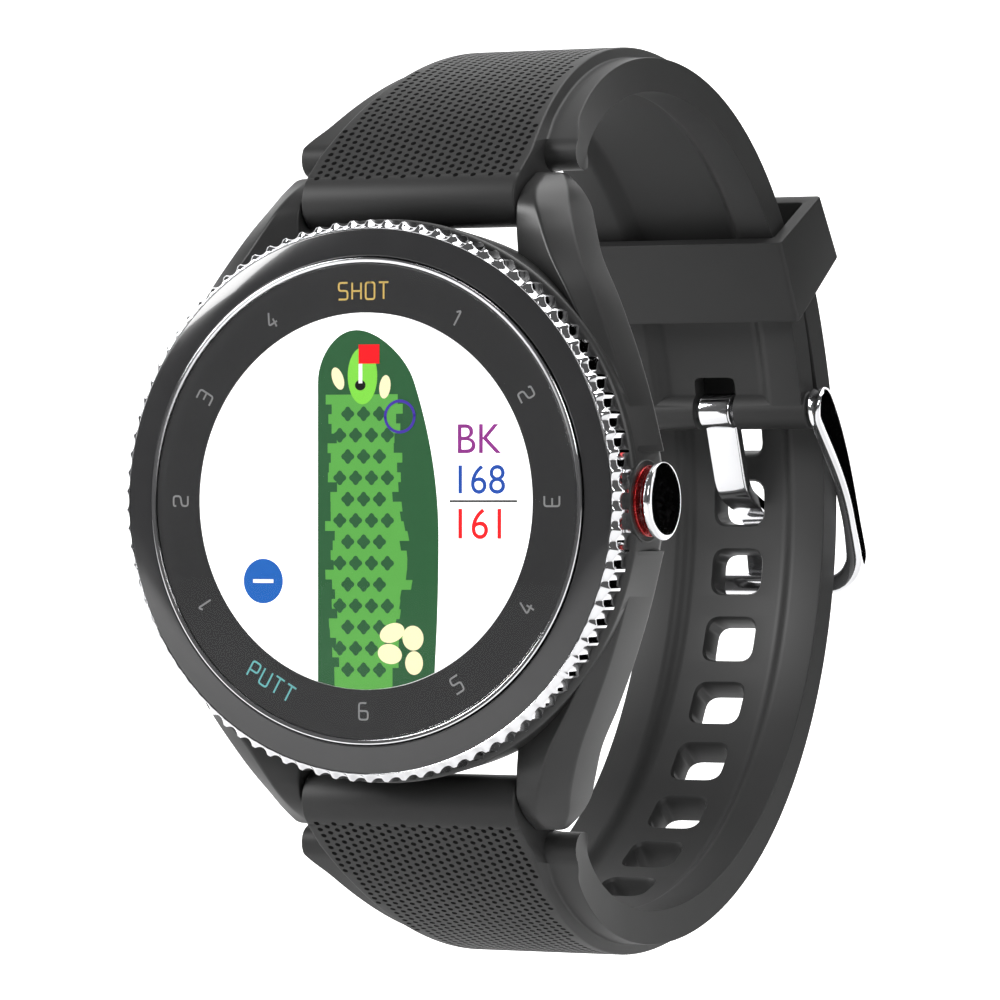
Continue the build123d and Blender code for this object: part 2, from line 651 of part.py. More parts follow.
def bend_centre(bends, number):
    """Centre (Y, Z) of one bend of a strap's mid line."""
    angle = STRAP_HEADING
    point = STRAP_START + Vector(cos(radians(angle)), sin(radians(angle))) * STRAIGHT
    for radius, sweep_angle in bends[: number + 1]:
        centre = point + Vector(sin(radians(angle)), -cos(radians(angle))) * radius
        angle -= sweep_angle
        point = centre + Vector(-sin(radians(angle)), cos(radians(angle))) * radius
    return centre


def strap(bends, band_bends):
    """The plain strap, drawn as the upper one: side rails, raised band, lug end and wrist-side channel."""
    with BuildPart() as body:
        with BuildSketch(Plane.YZ):
            strap_outline(bends, -RAIL_HALF, RAIL_HALF)
        extrude(amount=STRAP_HALF_LUG, both=True)
        with BuildSketch(Plane.XY.offset(-45)):
            with BuildLine():
                Line((STRAP_HALF_LUG, -6), (STRAP_HALF_LUG, -1))
                ThreePointArc((STRAP_HALF_LUG, -1), (10.3, 10.3), (STRAP_HALF, 31))
                Polyline((STRAP_HALF, 31), (STRAP_HALF, 70), (-STRAP_HALF, 70), (-STRAP_HALF, 31))
                ThreePointArc((-STRAP_HALF, 31), (-10.3, 10.3), (-STRAP_HALF_LUG, -1))
                Polyline((-STRAP_HALF_LUG, -1), (-STRAP_HALF_LUG, -6), (STRAP_HALF_LUG, -6))
            make_face()
        extrude(amount=90, mode=Mode.INTERSECT)
        with BuildSketch(Plane.XY):
            with Locations((-12, 0), (12, 0)):
                Rectangle(4.5, 12)
        extrude(amount=27.1, mode=Mode.SUBTRACT)                              # room for the lug tips
        with BuildSketch(Plane.YZ):
            strap_outline(band_bends, RAIL_HALF - 0.2, RAIL_HALF + BAND_RISE)
        extrude(amount=BAND_HALF, both=True)
        with BuildSketch(Plane.YZ):
            strap_outline(bends, -RAIL_HALF - 1, -RAIL_HALF + CHANNEL_DEPTH)
        extrude(amount=CHANNEL_WIDTH / 2, both=True, mode=Mode.SUBTRACT)
        with BuildSketch(Plane.YZ):
            with Locations((-BAR_HEIGHT, BAR_REACH)):
                Circle(STRAP_END_RADIUS)
        extrude(amount=STRAP_END_HALF, both=True)
        with BuildSketch(Plane.YZ):
            with Locations((-BAR_HEIGHT, BAR_REACH)):
                Circle(BAR_RADIUS)
        extrude(amount=12, both=True, mode=Mode.SUBTRACT)
    return body


with BuildPart() as upper_strap:
    add(strap(UPPER_BENDS, UPPER_BAND_BENDS).part)
    with BuildSketch(Plane.YZ):
        with Locations((BUCKLE_BAR.X, BUCKLE_BAR.Y)):
            Circle(1.7)
    extrude(amount=9.1, both=True)
    with BuildSketch(Plane.YZ):
        with Locations((BUCKLE_BAR.X, BUCKLE_BAR.Y)):
            Circle(BAR_RADIUS)
    extrude(amount=12, both=True, mode=Mode.SUBTRACT)
    with BuildSketch(Plane.XY.offset(BUCKLE_BAR.Y - 4)):
        with Locations((0, BUCKLE_BAR.X)):
            Rectangle(4.0, 10)                                                # notch for the tongue
    extrude(amount=7.5, mode=Mode.SUBTRACT)
finish(upper_strap, "upper_strap")

back_centre = bend_centre(LOWER_BENDS, 2)
with BuildPart() as punched_strap:
    add(strap(LOWER_BENDS, LOWER_BENDS).part)
    for number in range(HOLE_COUNT):
        angle = radians((number - 1) * HOLE_STEP)
        outward = Vector(0, cos(angle), sin(angle))
        seat = Vector(0, back_centre.X, back_centre.Y) + outward * 30
        with BuildSketch(Plane(origin=seat, x_dir=(1, 0, 0), z_dir=outward)):
            RectangleRounded(HOLE_WIDTH, HOLE_LENGTH, 1.2)
        extrude(amount=12, mode=Mode.SUBTRACT)
with BuildPart() as lower_strap:
    add(mirror(punched_strap.part, about=Plane.XY, mode=Mode.PRIVATE))
finish(lower_strap, "lower_strap")

# ================================================================ buckle

CROSSBAR = Vector(65.3, -7.6)          # (Y, Z) of the middle of the frame's cross bar
arm = CROSSBAR - BUCKLE_BAR
with BuildPart() as buckle_frame:
    with BuildSketch(Plane.YZ):
        with Locations((BUCKLE_BAR.X, BUCKLE_BAR.Y)):
            Circle(2.1)
        with Locations((CROSSBAR.X, CROSSBAR.Y)):
            Circle(0.95)
        with BuildLine():
            Polyline(
                BUCKLE_BAR + Vector(-1.4, -1.56), BUCKLE_BAR + Vector(3.6, -8.0), CROSSBAR + Vector(-0.9, 0.3),
                CROSSBAR + Vector(0.93, 0.2), BUCKLE_BAR + Vector(6.5, -5.6), BUCKLE_BAR + Vector(1.7, 1.23),
                close=True,
            )
        make_face()
    extrude(amount=FRAME_HALF, both=True)
    window_plane = Plane(
        origin=(0, BUCKLE_BAR.X, BUCKLE_BAR.Y), x_dir=(1, 0, 0), z_dir=(0, -arm.Y, arm.X),
    )
    with BuildSketch(window_plane.offset(-12)):
        with Locations((0, -2.6)):
            RectangleRounded(2 * FRAME_WINDOW, arm.length + 2.6 - 0.95 + 0.6, 1.8, align=(Align.CENTER, Align.MIN))
    extrude(amount=24, mode=Mode.SUBTRACT)
    with BuildSketch(Plane.YZ):
        with Locations((BUCKLE_BAR.X, BUCKLE_BAR.Y)):
            Circle(TIP_RADIUS + RUNNING_GAP)
    extrude(amount=10.35, both=True, mode=Mode.SUBTRACT)
finish(buckle_frame, "buckle_frame")

with BuildPart() as buckle_tongue:
    with BuildSketch(Plane.YZ):
        with BuildLine():
            FilletPolyline(
                (BUCKLE_BAR.X + 0.1, BUCKLE_BAR.Y - 0.5), (59.1, 0.9), (65.5, -1.3), (67.2, -8.3), radius=1.1,
            )
        trace(line_width=1.1)
        with Locations((BUCKLE_BAR.X, BUCKLE_BAR.Y)):
            Circle(1.6)
            Circle(BAR_RADIUS + RUNNING_GAP, mode=Mode.SUBTRACT)
    extrude(amount=TONGUE_WIDTH / 2, both=True)
finish(buckle_tongue, "buckle_tongue")

# ================================================================ keeper


with BuildPart() as keeper:
    with BuildSketch(Plane.YZ):
        with BuildLine():
            Polyline((51.2, 16.0), (60.1, 22.2), (56.1, 27.5), (47.3, 22.9), close=True)
        make_face()
    extrude(amount=KEEPER_HALF, both=True)
    with BuildSketch(Plane.YZ):
        with Locations((KEEPER_CENTRE.X, KEEPER_CENTRE.Y)):
            Circle(49.4)
            Circle(41.1, mode=Mode.SUBTRACT)
    extrude(amount=STRAP_HALF + 0.3, both=True, mode=Mode.SUBTRACT)
finish(keeper, "keeper")

for piece in pieces:
    export_step(piece.part, "parts/" + piece.part.label + ".step")
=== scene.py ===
# %% [markdown]
# # A golf watch, dressed for the camera
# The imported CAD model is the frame: every piece, size and joint is already in it. This notebook gives each
# visible piece its finished surface. All shapes are worked out in millimetres with numpy and put into
# meshes in metres, in the same frame: +Z is 12 o'clock, +X is 3 o'clock, and -Y comes out of the glass.

# %% Load the frame
import json
import bpy
import bmesh
import numpy as np
from mathutils import Matrix, Vector


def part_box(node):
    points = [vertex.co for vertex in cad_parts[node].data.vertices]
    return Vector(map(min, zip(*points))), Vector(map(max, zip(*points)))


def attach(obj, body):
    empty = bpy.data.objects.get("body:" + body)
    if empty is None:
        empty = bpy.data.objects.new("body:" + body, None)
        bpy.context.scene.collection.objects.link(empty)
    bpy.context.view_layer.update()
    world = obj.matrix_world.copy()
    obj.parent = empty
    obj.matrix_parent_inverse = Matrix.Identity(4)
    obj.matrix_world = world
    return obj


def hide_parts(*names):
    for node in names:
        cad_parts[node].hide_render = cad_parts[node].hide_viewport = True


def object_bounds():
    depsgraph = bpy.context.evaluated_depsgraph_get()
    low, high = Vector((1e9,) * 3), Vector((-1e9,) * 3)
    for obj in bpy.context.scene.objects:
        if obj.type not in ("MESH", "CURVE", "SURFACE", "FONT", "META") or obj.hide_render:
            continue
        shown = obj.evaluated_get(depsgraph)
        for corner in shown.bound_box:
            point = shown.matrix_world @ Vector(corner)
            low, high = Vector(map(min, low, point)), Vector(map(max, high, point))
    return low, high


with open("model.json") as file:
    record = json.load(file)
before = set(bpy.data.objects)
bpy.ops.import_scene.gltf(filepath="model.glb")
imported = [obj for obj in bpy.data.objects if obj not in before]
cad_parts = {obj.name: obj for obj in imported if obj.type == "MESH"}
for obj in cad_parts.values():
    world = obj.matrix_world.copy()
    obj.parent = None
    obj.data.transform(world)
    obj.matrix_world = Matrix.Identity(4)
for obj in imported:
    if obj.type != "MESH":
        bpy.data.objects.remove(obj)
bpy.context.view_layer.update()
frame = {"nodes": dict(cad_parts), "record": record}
nodes = frame["nodes"]
MM = 0.001


def node_box(name):
    """Lowest and highest corner of a CAD node, in millimetres."""
    low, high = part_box(name)
    return np.array(low) / MM, np.array(high) / MM


# %% [markdown]
# ## Turning arrays into meshes
# A surface is a grid of points, rows by columns. Neighbouring points make the quads, and a direction that
# closes on itself wraps round. One helper finds the quads, another puts everything into Blender.

# %% Grids, corners and objects
def grid_quads(rows, columns, wrap_rows=False, wrap_columns=False):
    """Corner numbers of the quads of a rows x columns grid of points, as an (n, 4) array."""
    row = np.arange(rows if wrap_rows else rows - 1)[:, None]
    column = np.arange(columns if wrap_columns else columns - 1)[None, :]
    below, beside = (row + 1) % rows, (column + 1) % columns
    corners = [
        row * columns + column, row * columns + beside, below * columns + beside, below * columns + column,
    ]
    return np.stack([np.broadcast_to(c, (row.size, column.size)) for c in corners], -1).reshape(-1, 4)


def rounded(corners, radius, steps=4):
    """A closed outline with its corners eased. Each corner P becomes the curve
    (1-t)^2 A + 2t(1-t) P + t^2 B, where A and B lie on its two sides, a radius away from it.
    corners is (..., n, k); the result is (..., n * (steps + 1), k)."""
    before, after = np.roll(corners, 1, -2) - corners, np.roll(corners, -1, -2) - corners
    radius = np.broadcast_to(np.asarray(radius, float), corners.shape[-2])[:, None]

    def along(side):
        length = np.linalg.norm(side, axis=-1, keepdims=True)
        return corners + side / np.maximum(length, 1e-6) * np.minimum(radius, 0.49 * length)

    start, end = along(before)[..., None, :], along(after)[..., None, :]
    t = np.linspace(0, 1, steps + 1)[:, None]
    eased = (1 - t) ** 2 * start + 2 * t * (1 - t) * corners[..., None, :] + t ** 2 * end
    return eased.reshape(*corners.shape[:-2], -1, corners.shape[-1])


def outward(mesh):
    """Merge doubles and turn every face of a closed mesh outwards."""
    edit = bmesh.new()
    edit.from_mesh(mesh)
    bmesh.ops.remove_doubles(edit, verts=edit.verts, dist=1e-7)
    bmesh.ops.dissolve_degenerate(edit, edges=edit.edges, dist=1e-7)
    bmesh.ops.recalc_face_normals(edit, faces=edit.faces)
    edit.to_mesh(mesh)
    edit.free()


def mesh_from(name, points, faces):
    """A mesh from points in millimetres."""
    mesh = bpy.data.meshes.new(name)
    points = np.asarray(points, float).reshape(-1, 3) * MM
    mesh.from_pydata(points.tolist(), [], [list(map(int, face)) for face in faces])
    return mesh


def in_scene(name, data):
    """A new object of the scene, from its mesh, lamp or camera."""
    made = bpy.data.objects.new(name, data)
    bpy.context.scene.collection.objects.link(made)
    return made


def piece(name, points, faces, sharp=35):
    """A new object from points in millimetres, smooth except across edges sharper than an angle."""
    mesh = mesh_from(name, points, faces)
    outward(mesh)
    mesh.polygons.foreach_set("use_smooth", np.ones(len(mesh.polygons), bool))
    mesh.set_sharp_from_angle(angle=np.radians(sharp))
    return in_scene(name, mesh)


def skin(name, points, sharp=40):
    """A closed piece through a row of closed sections, (rows, columns, 3), with a face over each end."""
    number = np.arange(points.shape[0] * points.shape[1]).reshape(points.shape[:2])
    faces = [*grid_quads(*number.shape, False, True).tolist(), number[0].tolist(), number[-1].tolist()]
    return piece(name, points, faces, sharp)


def dress(made, material):
    """Give an object one finish."""
    made.data.materials.clear()
    made.data.materials.append(material)


def settle(made, material, body, slot, *replaced):
    """Give a new piece its finish and its body, and hide the CAD nodes that it stands for. The slot is not
    used.
    """
    dress(made, material)
    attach(made, body)
    if replaced:
        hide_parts(*replaced)
    print(made.name, "-", len(made.data.polygons), "faces on", body)
    return made


# %% [markdown]
# ## Writing shader maths as expressions
# A small class wraps a node's output, so that a pattern reads like arithmetic: `0.5 + grain * 0.1` adds the
# Math nodes by itself. Colours go through Mix, because a Math node would turn them grey.

# %% The socket class
class Wire:
    """One output of a node. Arithmetic on it adds Math nodes to its material."""

    def __init__(self, finish, socket):
        self.finish = finish
        self.socket = socket

    def _math(self, operation, first, second):
        return self.finish.node("Math", {"operation": operation}, {0: first, 1: second})

    def __add__(self, other):
        return self._math("ADD", self, other)

    def __radd__(self, other):
        return self._math("ADD", other, self)

    def __mul__(self, other):
        return self._math("MULTIPLY", self, other)

    def __rmul__(self, other):
        return self._math("MULTIPLY", other, self)


class Finish:
    """A procedural material: a Principled shader with constants on its sockets, and nodes that feed it."""

    def __init__(self, name, **constants):
        self.material = bpy.data.materials.new(name)
        self.material.use_nodes = True
        self.tree = self.material.node_tree
        self.shader = self.tree.nodes["Principled BSDF"]
        self.set(**constants)

    def set(self, **values):
        """Set or link the shader's sockets, written with _ for a space."""
        for name, value in values.items():
            self._feed(self.shader.inputs[name.replace("_", " ")], value)
        return self

    def _feed(self, socket, value):
        if isinstance(value, Wire):
            self.tree.links.new(value.socket, socket)
        elif socket.type == "RGBA":
            socket.default_value = (*value, 1.0)
        else:
            socket.default_value = value

    def node(self, kind, settings, inputs, output=0):
        """Any node: its settings first, then the values or links of its sockets."""
        made = self.tree.nodes.new("ShaderNode" + kind)
        for name, value in settings.items():
            setattr(made, name, value)
        for name, value in inputs.items():
            self._feed(made.inputs[name], value)
        return Wire(self, made.outputs[output])

    def place(self):
        """Object coordinates, in metres."""
        return self.node("TexCoord", {}, {}, "Object")

    def noise(self, size, detail=2.0, stretch=(1, 1, 1)):
        """Smooth noise from 0 to 1, with features of about a size in millimetres."""
        scaled = self.node("Mapping", {}, {"Vector": self.place(), "Scale": stretch})
        return self.node("TexNoise", {}, {"Vector": scaled, "Scale": 1 / (size * MM), "Detail": detail})

    def mix(self, factor, dark, light):
        """A colour between two, by a factor from 0 to 1."""
        return self.node("Mix", {"data_type": "RGBA"}, {0: factor, 6: dark, 7: light}, 2)

    def bump(self, height, depth, strength=1.0):
        """Normal from a height of 0 to 1 that stands for a depth in millimetres."""
        return self.node("Bump", {}, {"Height": height, "Distance": depth * MM, "Strength": strength})


def soft_plastic(name, dark, light, roughness, grain=0.12, depth=0.004, **constants):
    """Matt moulded plastic or silicone: a fine spark-eroded grain, and a faint cloud of handling marks."""
    made = Finish(name, **constants)
    fine = made.noise(grain, 3.0)
    cloud = made.noise(6.0, 3.0)
    made.set(
        Base_Color=made.mix(cloud * 0.7 + fine * 0.3, dark, light),
        Roughness=roughness - 0.05 + cloud * 0.1,
        Normal=made.bump(fine, depth),
    )
    return made.material


def bright_metal(name, colour, roughness, brushed=(1, 1, 1), depth=0.0008):
    """Polished metal: clear reflections with faint directional polishing marks."""
    made = Finish(name, Metallic=1.0, Base_Color=colour)
    marks = made.noise(0.25, 2.0, brushed)
    haze = made.noise(3.0, 2.0)
    made.set(Roughness=roughness + marks * 0.05 + haze * 0.04, Normal=made.bump(marks, depth))
    return made.material


# %% [markdown]
# ## The finishes
# The case and the strap are the same charcoal, but the case is hard moulded resin and the strap is silicone
# with a chalky, slightly velvety surface. The bezel is gloss black with a hard coat, and its coin edge, the
# button and the buckle are polished steel.

# %% Finishes of the outside
def grey(tone, blue=0.0):
    """A grey, with a little more blue where that is given."""
    return (tone, tone, tone + blue)


silicone = soft_plastic("silicone", grey(0.022), grey(0.030), 0.50, Specular_IOR_Level=0.3)
resin = soft_plastic("case resin", grey(0.018), grey(0.026), 0.40, 0.09, 0.002, Specular_IOR_Level=0.4)
back_resin = soft_plastic("case back resin", grey(0.018, 0.001), grey(0.026, 0.001), 0.35, 0.2, 0.003)
steel = bright_metal("polished steel", grey(0.86, 0.02), 0.05)
spring_steel = bright_metal("spring steel", grey(0.55, 0.01), 0.22, (1, 8, 1), 0.002)
screw_steel = bright_metal("screw steel", grey(0.35, 0.01), 0.25, (8, 1, 8), 0.002)
gold = bright_metal("gold plate", (0.85, 0.58, 0.26), 0.18)
tungsten = bright_metal("tungsten", (0.42, 0.41, 0.40), 0.32, depth=0.004)

anodised = Finish("red anodised", Metallic=0.85, Coat_Weight=0.4)
anodised.set(
    Base_Color=anodised.mix(anodised.noise(0.5), (0.42, 0.01, 0.012), (0.55, 0.02, 0.02)),
    Roughness=0.22 + anodised.noise(0.3) * 0.1,
)
red = anodised.material

lacquer = Finish("gloss black", Coat_Roughness=0.03)
haze = lacquer.noise(4.0, 3.0)
lacquer.set(
    Base_Color=lacquer.mix(haze, grey(0.024, 0.001), grey(0.030, 0.001)),
    Roughness=0.10 + haze * 0.05, Coat_Weight=0.5 + haze * 0.1,
)
gloss = lacquer.material
print("finishes of the outside:", silicone.name, resin.name, steel.name, gloss.name)

# %% Finishes of the inside
rubber = soft_plastic("seal rubber", grey(0.010, 0.001), grey(0.018), 0.6)
black_plastic = soft_plastic("black plastic", grey(0.014, 0.001), grey(0.022), 0.5)
white_plastic = soft_plastic("white plastic", (0.62, 0.61, 0.58), (0.70, 0.69, 0.66), 0.45)
ceramic = soft_plastic("antenna ceramic", (0.60, 0.55, 0.46), (0.68, 0.63, 0.54), 0.55, 0.05, 0.004)
amber = soft_plastic("amber film", (0.50, 0.20, 0.03), (0.58, 0.26, 0.05), 0.25)
chip_black = soft_plastic("chip moulding", grey(0.012, 0.001), grey(0.02), 0.55, 0.05, 0.003)
board_green = soft_plastic(
    "solder mask", (0.008, 0.06, 0.025), (0.014, 0.085, 0.035), 0.3, 0.3, 0.005, Coat_Weight=0.4,
)
foil = bright_metal("battery foil", (0.72, 0.73, 0.75), 0.3, (3, 1, 1), 0.004)
print("finishes of the inside: 8")

# %% Each CAD node takes the finish of its slot
slot_finish = {
    "case_polymer": resin, "polished_steel": steel, "gloss_black": gloss, "spring_steel": spring_steel,
    "seal_rubber": rubber, "black_plastic": black_plastic, "amber_film": amber, "board_green": board_green,
    "chip_black": chip_black, "screw_steel": screw_steel, "antenna_ceramic": ceramic, "battery_foil": foil,
    "rotor_metal": tungsten, "white_plastic": white_plastic, "back_polymer": back_resin, "contact_gold": gold,
    "red_anodised": red, "strap_silicone": silicone,
}
node_slot = {part["node"]: part["material_slot"] for part in frame["record"]["subparts"]}
for name, node in nodes.items():
    if node_slot.get(name) in slot_finish:
        dress(node, slot_finish[node_slot[name]])
print(len(node_slot), "nodes have a slot")

# %% [markdown]
# ## Turned rings
# Everything round the dial is a turned part: one section, revolved about the watch's axis. The section is
# a closed outline of (radius, height) corners, heights measured from the case back, with eased corners.

# %% A turned piece
X, Y, Z = np.eye(3)
DIAL_AXES = (-Y, Z, X)                        # out of the glass, then the turn from 12 o'clock to 3 o'clock
BAR_AXES = (X, Y, Z)
POLE = 0.02                                   # radius at which a bar's end face closes


def spun(name, along, radius, centre, axes, segments, closed, sharp=35):
    """A profile turned about an axis: centre + l u + r (v cos a + w sin a) for each (l, r) of the profile
    and each angle a. An open profile gets a face at both poles. radius may also change with the angle."""
    u, v, w = axes
    angle = np.linspace(0, 2 * np.pi, segments, endpoint=False)[:, None, None]
    points = centre + along[:, None] * u + radius[..., None] * (v * np.cos(angle) + w * np.sin(angle))
    faces = grid_quads(segments, len(along), True, closed).tolist()
    if not closed:
        number = np.arange(segments * len(along)).reshape(segments, len(along))
        faces += [number[:, 0].tolist(), number[:, -1].tolist()]
    return piece(name, points, faces, sharp)


def turned(name, section, radius, segments=256, steps=4):
    """A ring about the dial's axis, from (r, h) corners, eased."""
    r, h = rounded(np.array(section, float), radius, steps).T
    return spun(name, h, r, 0, DIAL_AXES, segments, True)


def turned_disc(name, edge, low, high, radius):
    """A disc about the dial's axis, whose section runs from pole to pole."""
    middle = 0.5
    corners = np.array([(middle, low), (edge, low), (edge, high), (middle, high)], float)
    r, h = rounded(corners, [0, radius, radius, 0]).T
    return spun(name, h, r, 0, DIAL_AXES, 256, False)


def cross_bar(name, line, radius, half, ease=0.25, segments=72, middle=0.0):
    """A round bar along X: its eased (x, r) half section turned about the line through (y, z)."""
    corners = np.array([(-half, POLE), (-half, radius), (half, radius), (half, POLE)])
    x, r = rounded(corners, [0, ease, ease, 0]).T
    return spun(name, x, r, (middle, *line), BAR_AXES, segments, False)


def heights(name):
    """Foot and top of a CAD node, over the case back."""
    low, high = node_box(name)
    return -high[1], -low[1]


def combine(target, tool, operation):
    """Apply a Boolean with another closed mesh, which is then removed."""
    step = target.modifiers.new("combine", "BOOLEAN")
    step.operation = operation
    step.solver = "MANIFOLD"
    step.object = tool
    bpy.context.view_layer.update()
    cut = bpy.data.meshes.new_from_object(target.evaluated_get(bpy.context.evaluated_depsgraph_get()))
    target.modifiers.clear()
    target.data = cut
    cut.set_sharp_from_angle(angle=np.radians(35))
    bpy.data.objects.remove(tool)


# %% The coin edge
# Its rim is cut by 90 scallops. A scallop is a round cut, so the rim's radius falls from R by
# sqrt(c^2 - v^2) - (c - depth), where v is the distance along the rim from the middle of the scallop.
GRIP_RADIUS = node_box("bezel_grip_ring")[1][0]
GRIP_BORE = 20.6
INSERT_RADIUS = 22.0
SCALLOPS = 90
SCALLOP_RADIUS = 0.80
SCALLOP_DEPTH = 0.34
SCALLOP_SEGMENTS = 14
foot, rim_top = heights("bezel_grip_ring")
section = rounded(np.array([
    (GRIP_BORE, foot), (GRIP_RADIUS, foot), (GRIP_RADIUS, rim_top - 0.55), (INSERT_RADIUS + 0.2, rim_top),
    (INSERT_RADIUS, rim_top), (INSERT_RADIUS, rim_top - 0.45), (GRIP_BORE, rim_top - 0.6),
]), [0.1, 0.25, 0.25, 0.1, 0.05, 0.05, 0.05], 4)
turn = np.linspace(0, 2 * np.pi, SCALLOPS * SCALLOP_SEGMENTS, endpoint=False)
pitch = 2 * np.pi * GRIP_RADIUS / SCALLOPS
across = (np.mod(turn * SCALLOPS / (2 * np.pi), 1) - 0.5) * pitch
cut = np.sqrt(np.maximum(SCALLOP_RADIUS ** 2 - across ** 2, 0)) - (SCALLOP_RADIUS - SCALLOP_DEPTH)
fade = np.clip((section[:, 0] - INSERT_RADIUS - 0.05) / 0.35, 0, 1)     # no cut at the insert's seat
reach = section[:, 0] - np.maximum(cut, 0)[:, None] * fade
coin_edge = spun("coin_edge", section[:, 1], reach, 0, DIAL_AXES, turn.size, True, 40)
settle(coin_edge, steel, "bezel", "polished_steel", "bezel_grip_ring")

# %% The gloss insert, the trim ring and the printed ring
INSERT_BORE = 19.74
TRIM_RADIUS, TRIM_BORE = 19.65, 19.25
SCALE_RADIUS = 19.18
SCREEN_RADIUS = 15.24
seat, crown = heights("bezel_insert")
gloss_insert = turned("gloss_insert", [
    (INSERT_BORE, seat), (INSERT_RADIUS, seat), (INSERT_RADIUS, crown - 0.32), (INSERT_BORE, crown),
], [0.02, 0.02, 0.12, 0.14])
settle(gloss_insert, gloss, "bezel", "gloss_black", "bezel_insert")

trim_foot, trim_top = heights("bezel_trim_ring")
steel_trim = turned("steel_trim", [
    (TRIM_BORE, trim_foot), (TRIM_RADIUS, trim_foot), (TRIM_RADIUS, trim_top), (TRIM_BORE, trim_top - 0.05),
], [0.02, 0.02, 0.12, 0.06])
settle(steel_trim, steel, "watch", "polished_steel", "bezel_trim_ring")

scale_foot, scale_top = heights("scale_ring")
dial_print = Finish("scale lacquer", Coat_Weight=0.0, Specular_IOR_Level=0.2)
speck = dial_print.noise(0.15, 2.0)
dial_print.set(
    Base_Color=dial_print.mix(speck, grey(0.031, 0.001), grey(0.037, 0.001)), Roughness=0.55 + speck * 0.1,
    Normal=dial_print.bump(speck, 0.0003, 0.2),
)
scale = turned("scale_band", [
    (SCREEN_RADIUS, scale_foot), (SCALE_RADIUS, scale_foot),
    (SCALE_RADIUS, scale_top), (SCREEN_RADIUS, scale_top),
], 0.01, 360, 1)
settle(scale, dial_print.material, "watch", "scale_print", "scale_ring")
print("bezel foot", round(foot, 2), "insert top", round(crown, 2), "trim top", round(trim_top, 2))

# %% [markdown]
# ## Flat prints
# The numerals on the scale and the picture on the display are thin flat pieces, a few hundredths of a
# millimetre thick, just under the glass. A numeral is drawn as the pen would draw it: each stroke is a run
# of points, and its ribbon has mitred corners.

# %% Flat pieces and pen strokes
def flat(name, outlines, height, thickness=0.012):
    """Closed thin plates on the dial: each outline of (x, z) points gets a front, a back and a rim."""
    points, faces, count = [], [], 0
    for outline in outlines:
        n = len(outline)
        front = np.stack([outline[:, 0], np.full(n, -height), outline[:, 1]], -1)
        points += [front, front + (0, thickness, 0)]
        rim = np.arange(n)
        faces += [(count + rim).tolist(), (count + n + rim[::-1]).tolist()]
        faces += (np.stack([rim, rim + n, (rim + 1) % n + n, (rim + 1) % n], -1) + count).tolist()
        count += 2 * n
    return piece(name, np.concatenate(points), faces, 30)


def unit(ways):
    """Rows of directions, each made one long."""
    return ways / np.linalg.norm(ways, axis=1, keepdims=True)


def ribbon(run, width):
    """Outline of a pen stroke along a run of points. At each point the edge moves out along the mitre
    m = (n1 + n2) / (1 + n1.n2), the sum of the normals of its two sides, by half the width."""
    run = np.asarray(run, float)
    step = unit(np.diff(run, axis=0))
    normal = np.stack([-step[:, 1], step[:, 0]], -1)
    before, after = np.vstack([normal[:1], normal]), np.vstack([normal, normal[-1:]])
    mitre = (before + after) / (1 + (before * after).sum(1, keepdims=True)) * width / 2
    return np.vstack([run + mitre, (run - mitre)[::-1]])


def eased_line(corners, radius, steps=4):
    """An open line with eased corners: the two ends stay, and each corner between is rounded."""
    closed = rounded(np.array(corners, float), [0] + [radius] * (len(corners) - 2) + [0], steps)
    return closed[steps:-steps]


def ellipse(x, z, rx, rz, turn=0.0, count=48):
    """Outline of an ellipse, turned by some degrees."""
    a = np.linspace(0, 2 * np.pi, count, endpoint=False)
    c, s = np.cos(np.radians(turn)), np.sin(np.radians(turn))
    u, v = rx * np.cos(a), rz * np.sin(a)
    return np.stack([x + u * c - v * s, z + u * s + v * c], -1)


def colour_print(name, colour, glow=0.0):
    """Ink, or display colour with a painted glow, with a faint grain."""
    made = Finish(name, Roughness=0.5, Specular_IOR_Level=0.2, Emission_Strength=glow)
    grain = made.noise(0.1, 2.0)
    deep = tuple(0.94 * c for c in colour)
    tint = made.mix(grain, deep, colour)
    made.set(Base_Color=tint, Emission_Color=tint)
    return made.material


# Figures in a box 0.62 wide and 1 high. Each is one or more strokes.
STROKES = {
    "1": [[(0.12, 0.78), (0.36, 1.0), (0.36, 0.0)]],
    "2": [[(0.0, 0.82), (0.0, 1.0), (0.6, 1.0), (0.6, 0.52), (0.0, 0.42), (0.0, 0.0), (0.6, 0.0)]],
    "3": [[(0.0, 1.0), (0.6, 1.0), (0.6, 0.0), (0.0, 0.0)], [(0.12, 0.52), (0.6, 0.52)]],
    "4": [[(0.36, 1.0), (0.0, 0.28), (0.62, 0.28)], [(0.44, 0.55), (0.44, 0.0)]],
    "5": [[(0.6, 1.0), (0.0, 1.0), (0.0, 0.55), (0.6, 0.55), (0.6, 0.0), (0.0, 0.0)]],
    "6": [[(0.5, 1.0), (0.0, 1.0), (0.0, 0.0), (0.6, 0.0), (0.6, 0.52), (0.0, 0.52)]],
    "S": [[(0.6, 1.0), (0.0, 1.0), (0.0, 0.52), (0.6, 0.52), (0.6, 0.0), (0.0, 0.0)]],
    "H": [[(0.0, 0.0), (0.0, 1.0)], [(0.6, 0.0), (0.6, 1.0)], [(0.0, 0.5), (0.6, 0.5)]],
    "O": [[(0.3, 0.0), (0.0, 0.0), (0.0, 1.0), (0.3, 1.0)], [(0.3, 1.0), (0.6, 1.0), (0.6, 0.0), (0.3, 0.0)]],
    "T": [[(-0.02, 1.0), (0.62, 1.0)], [(0.3, 1.0), (0.3, 0.0)]],
    "P": [[(0.0, 0.0), (0.0, 1.0), (0.6, 1.0), (0.6, 0.42), (0.0, 0.42)]],
    "U": [[(0.0, 1.0), (0.0, 0.0), (0.6, 0.0), (0.6, 1.0)]],
}
FIGURE_HEIGHT = 1.34
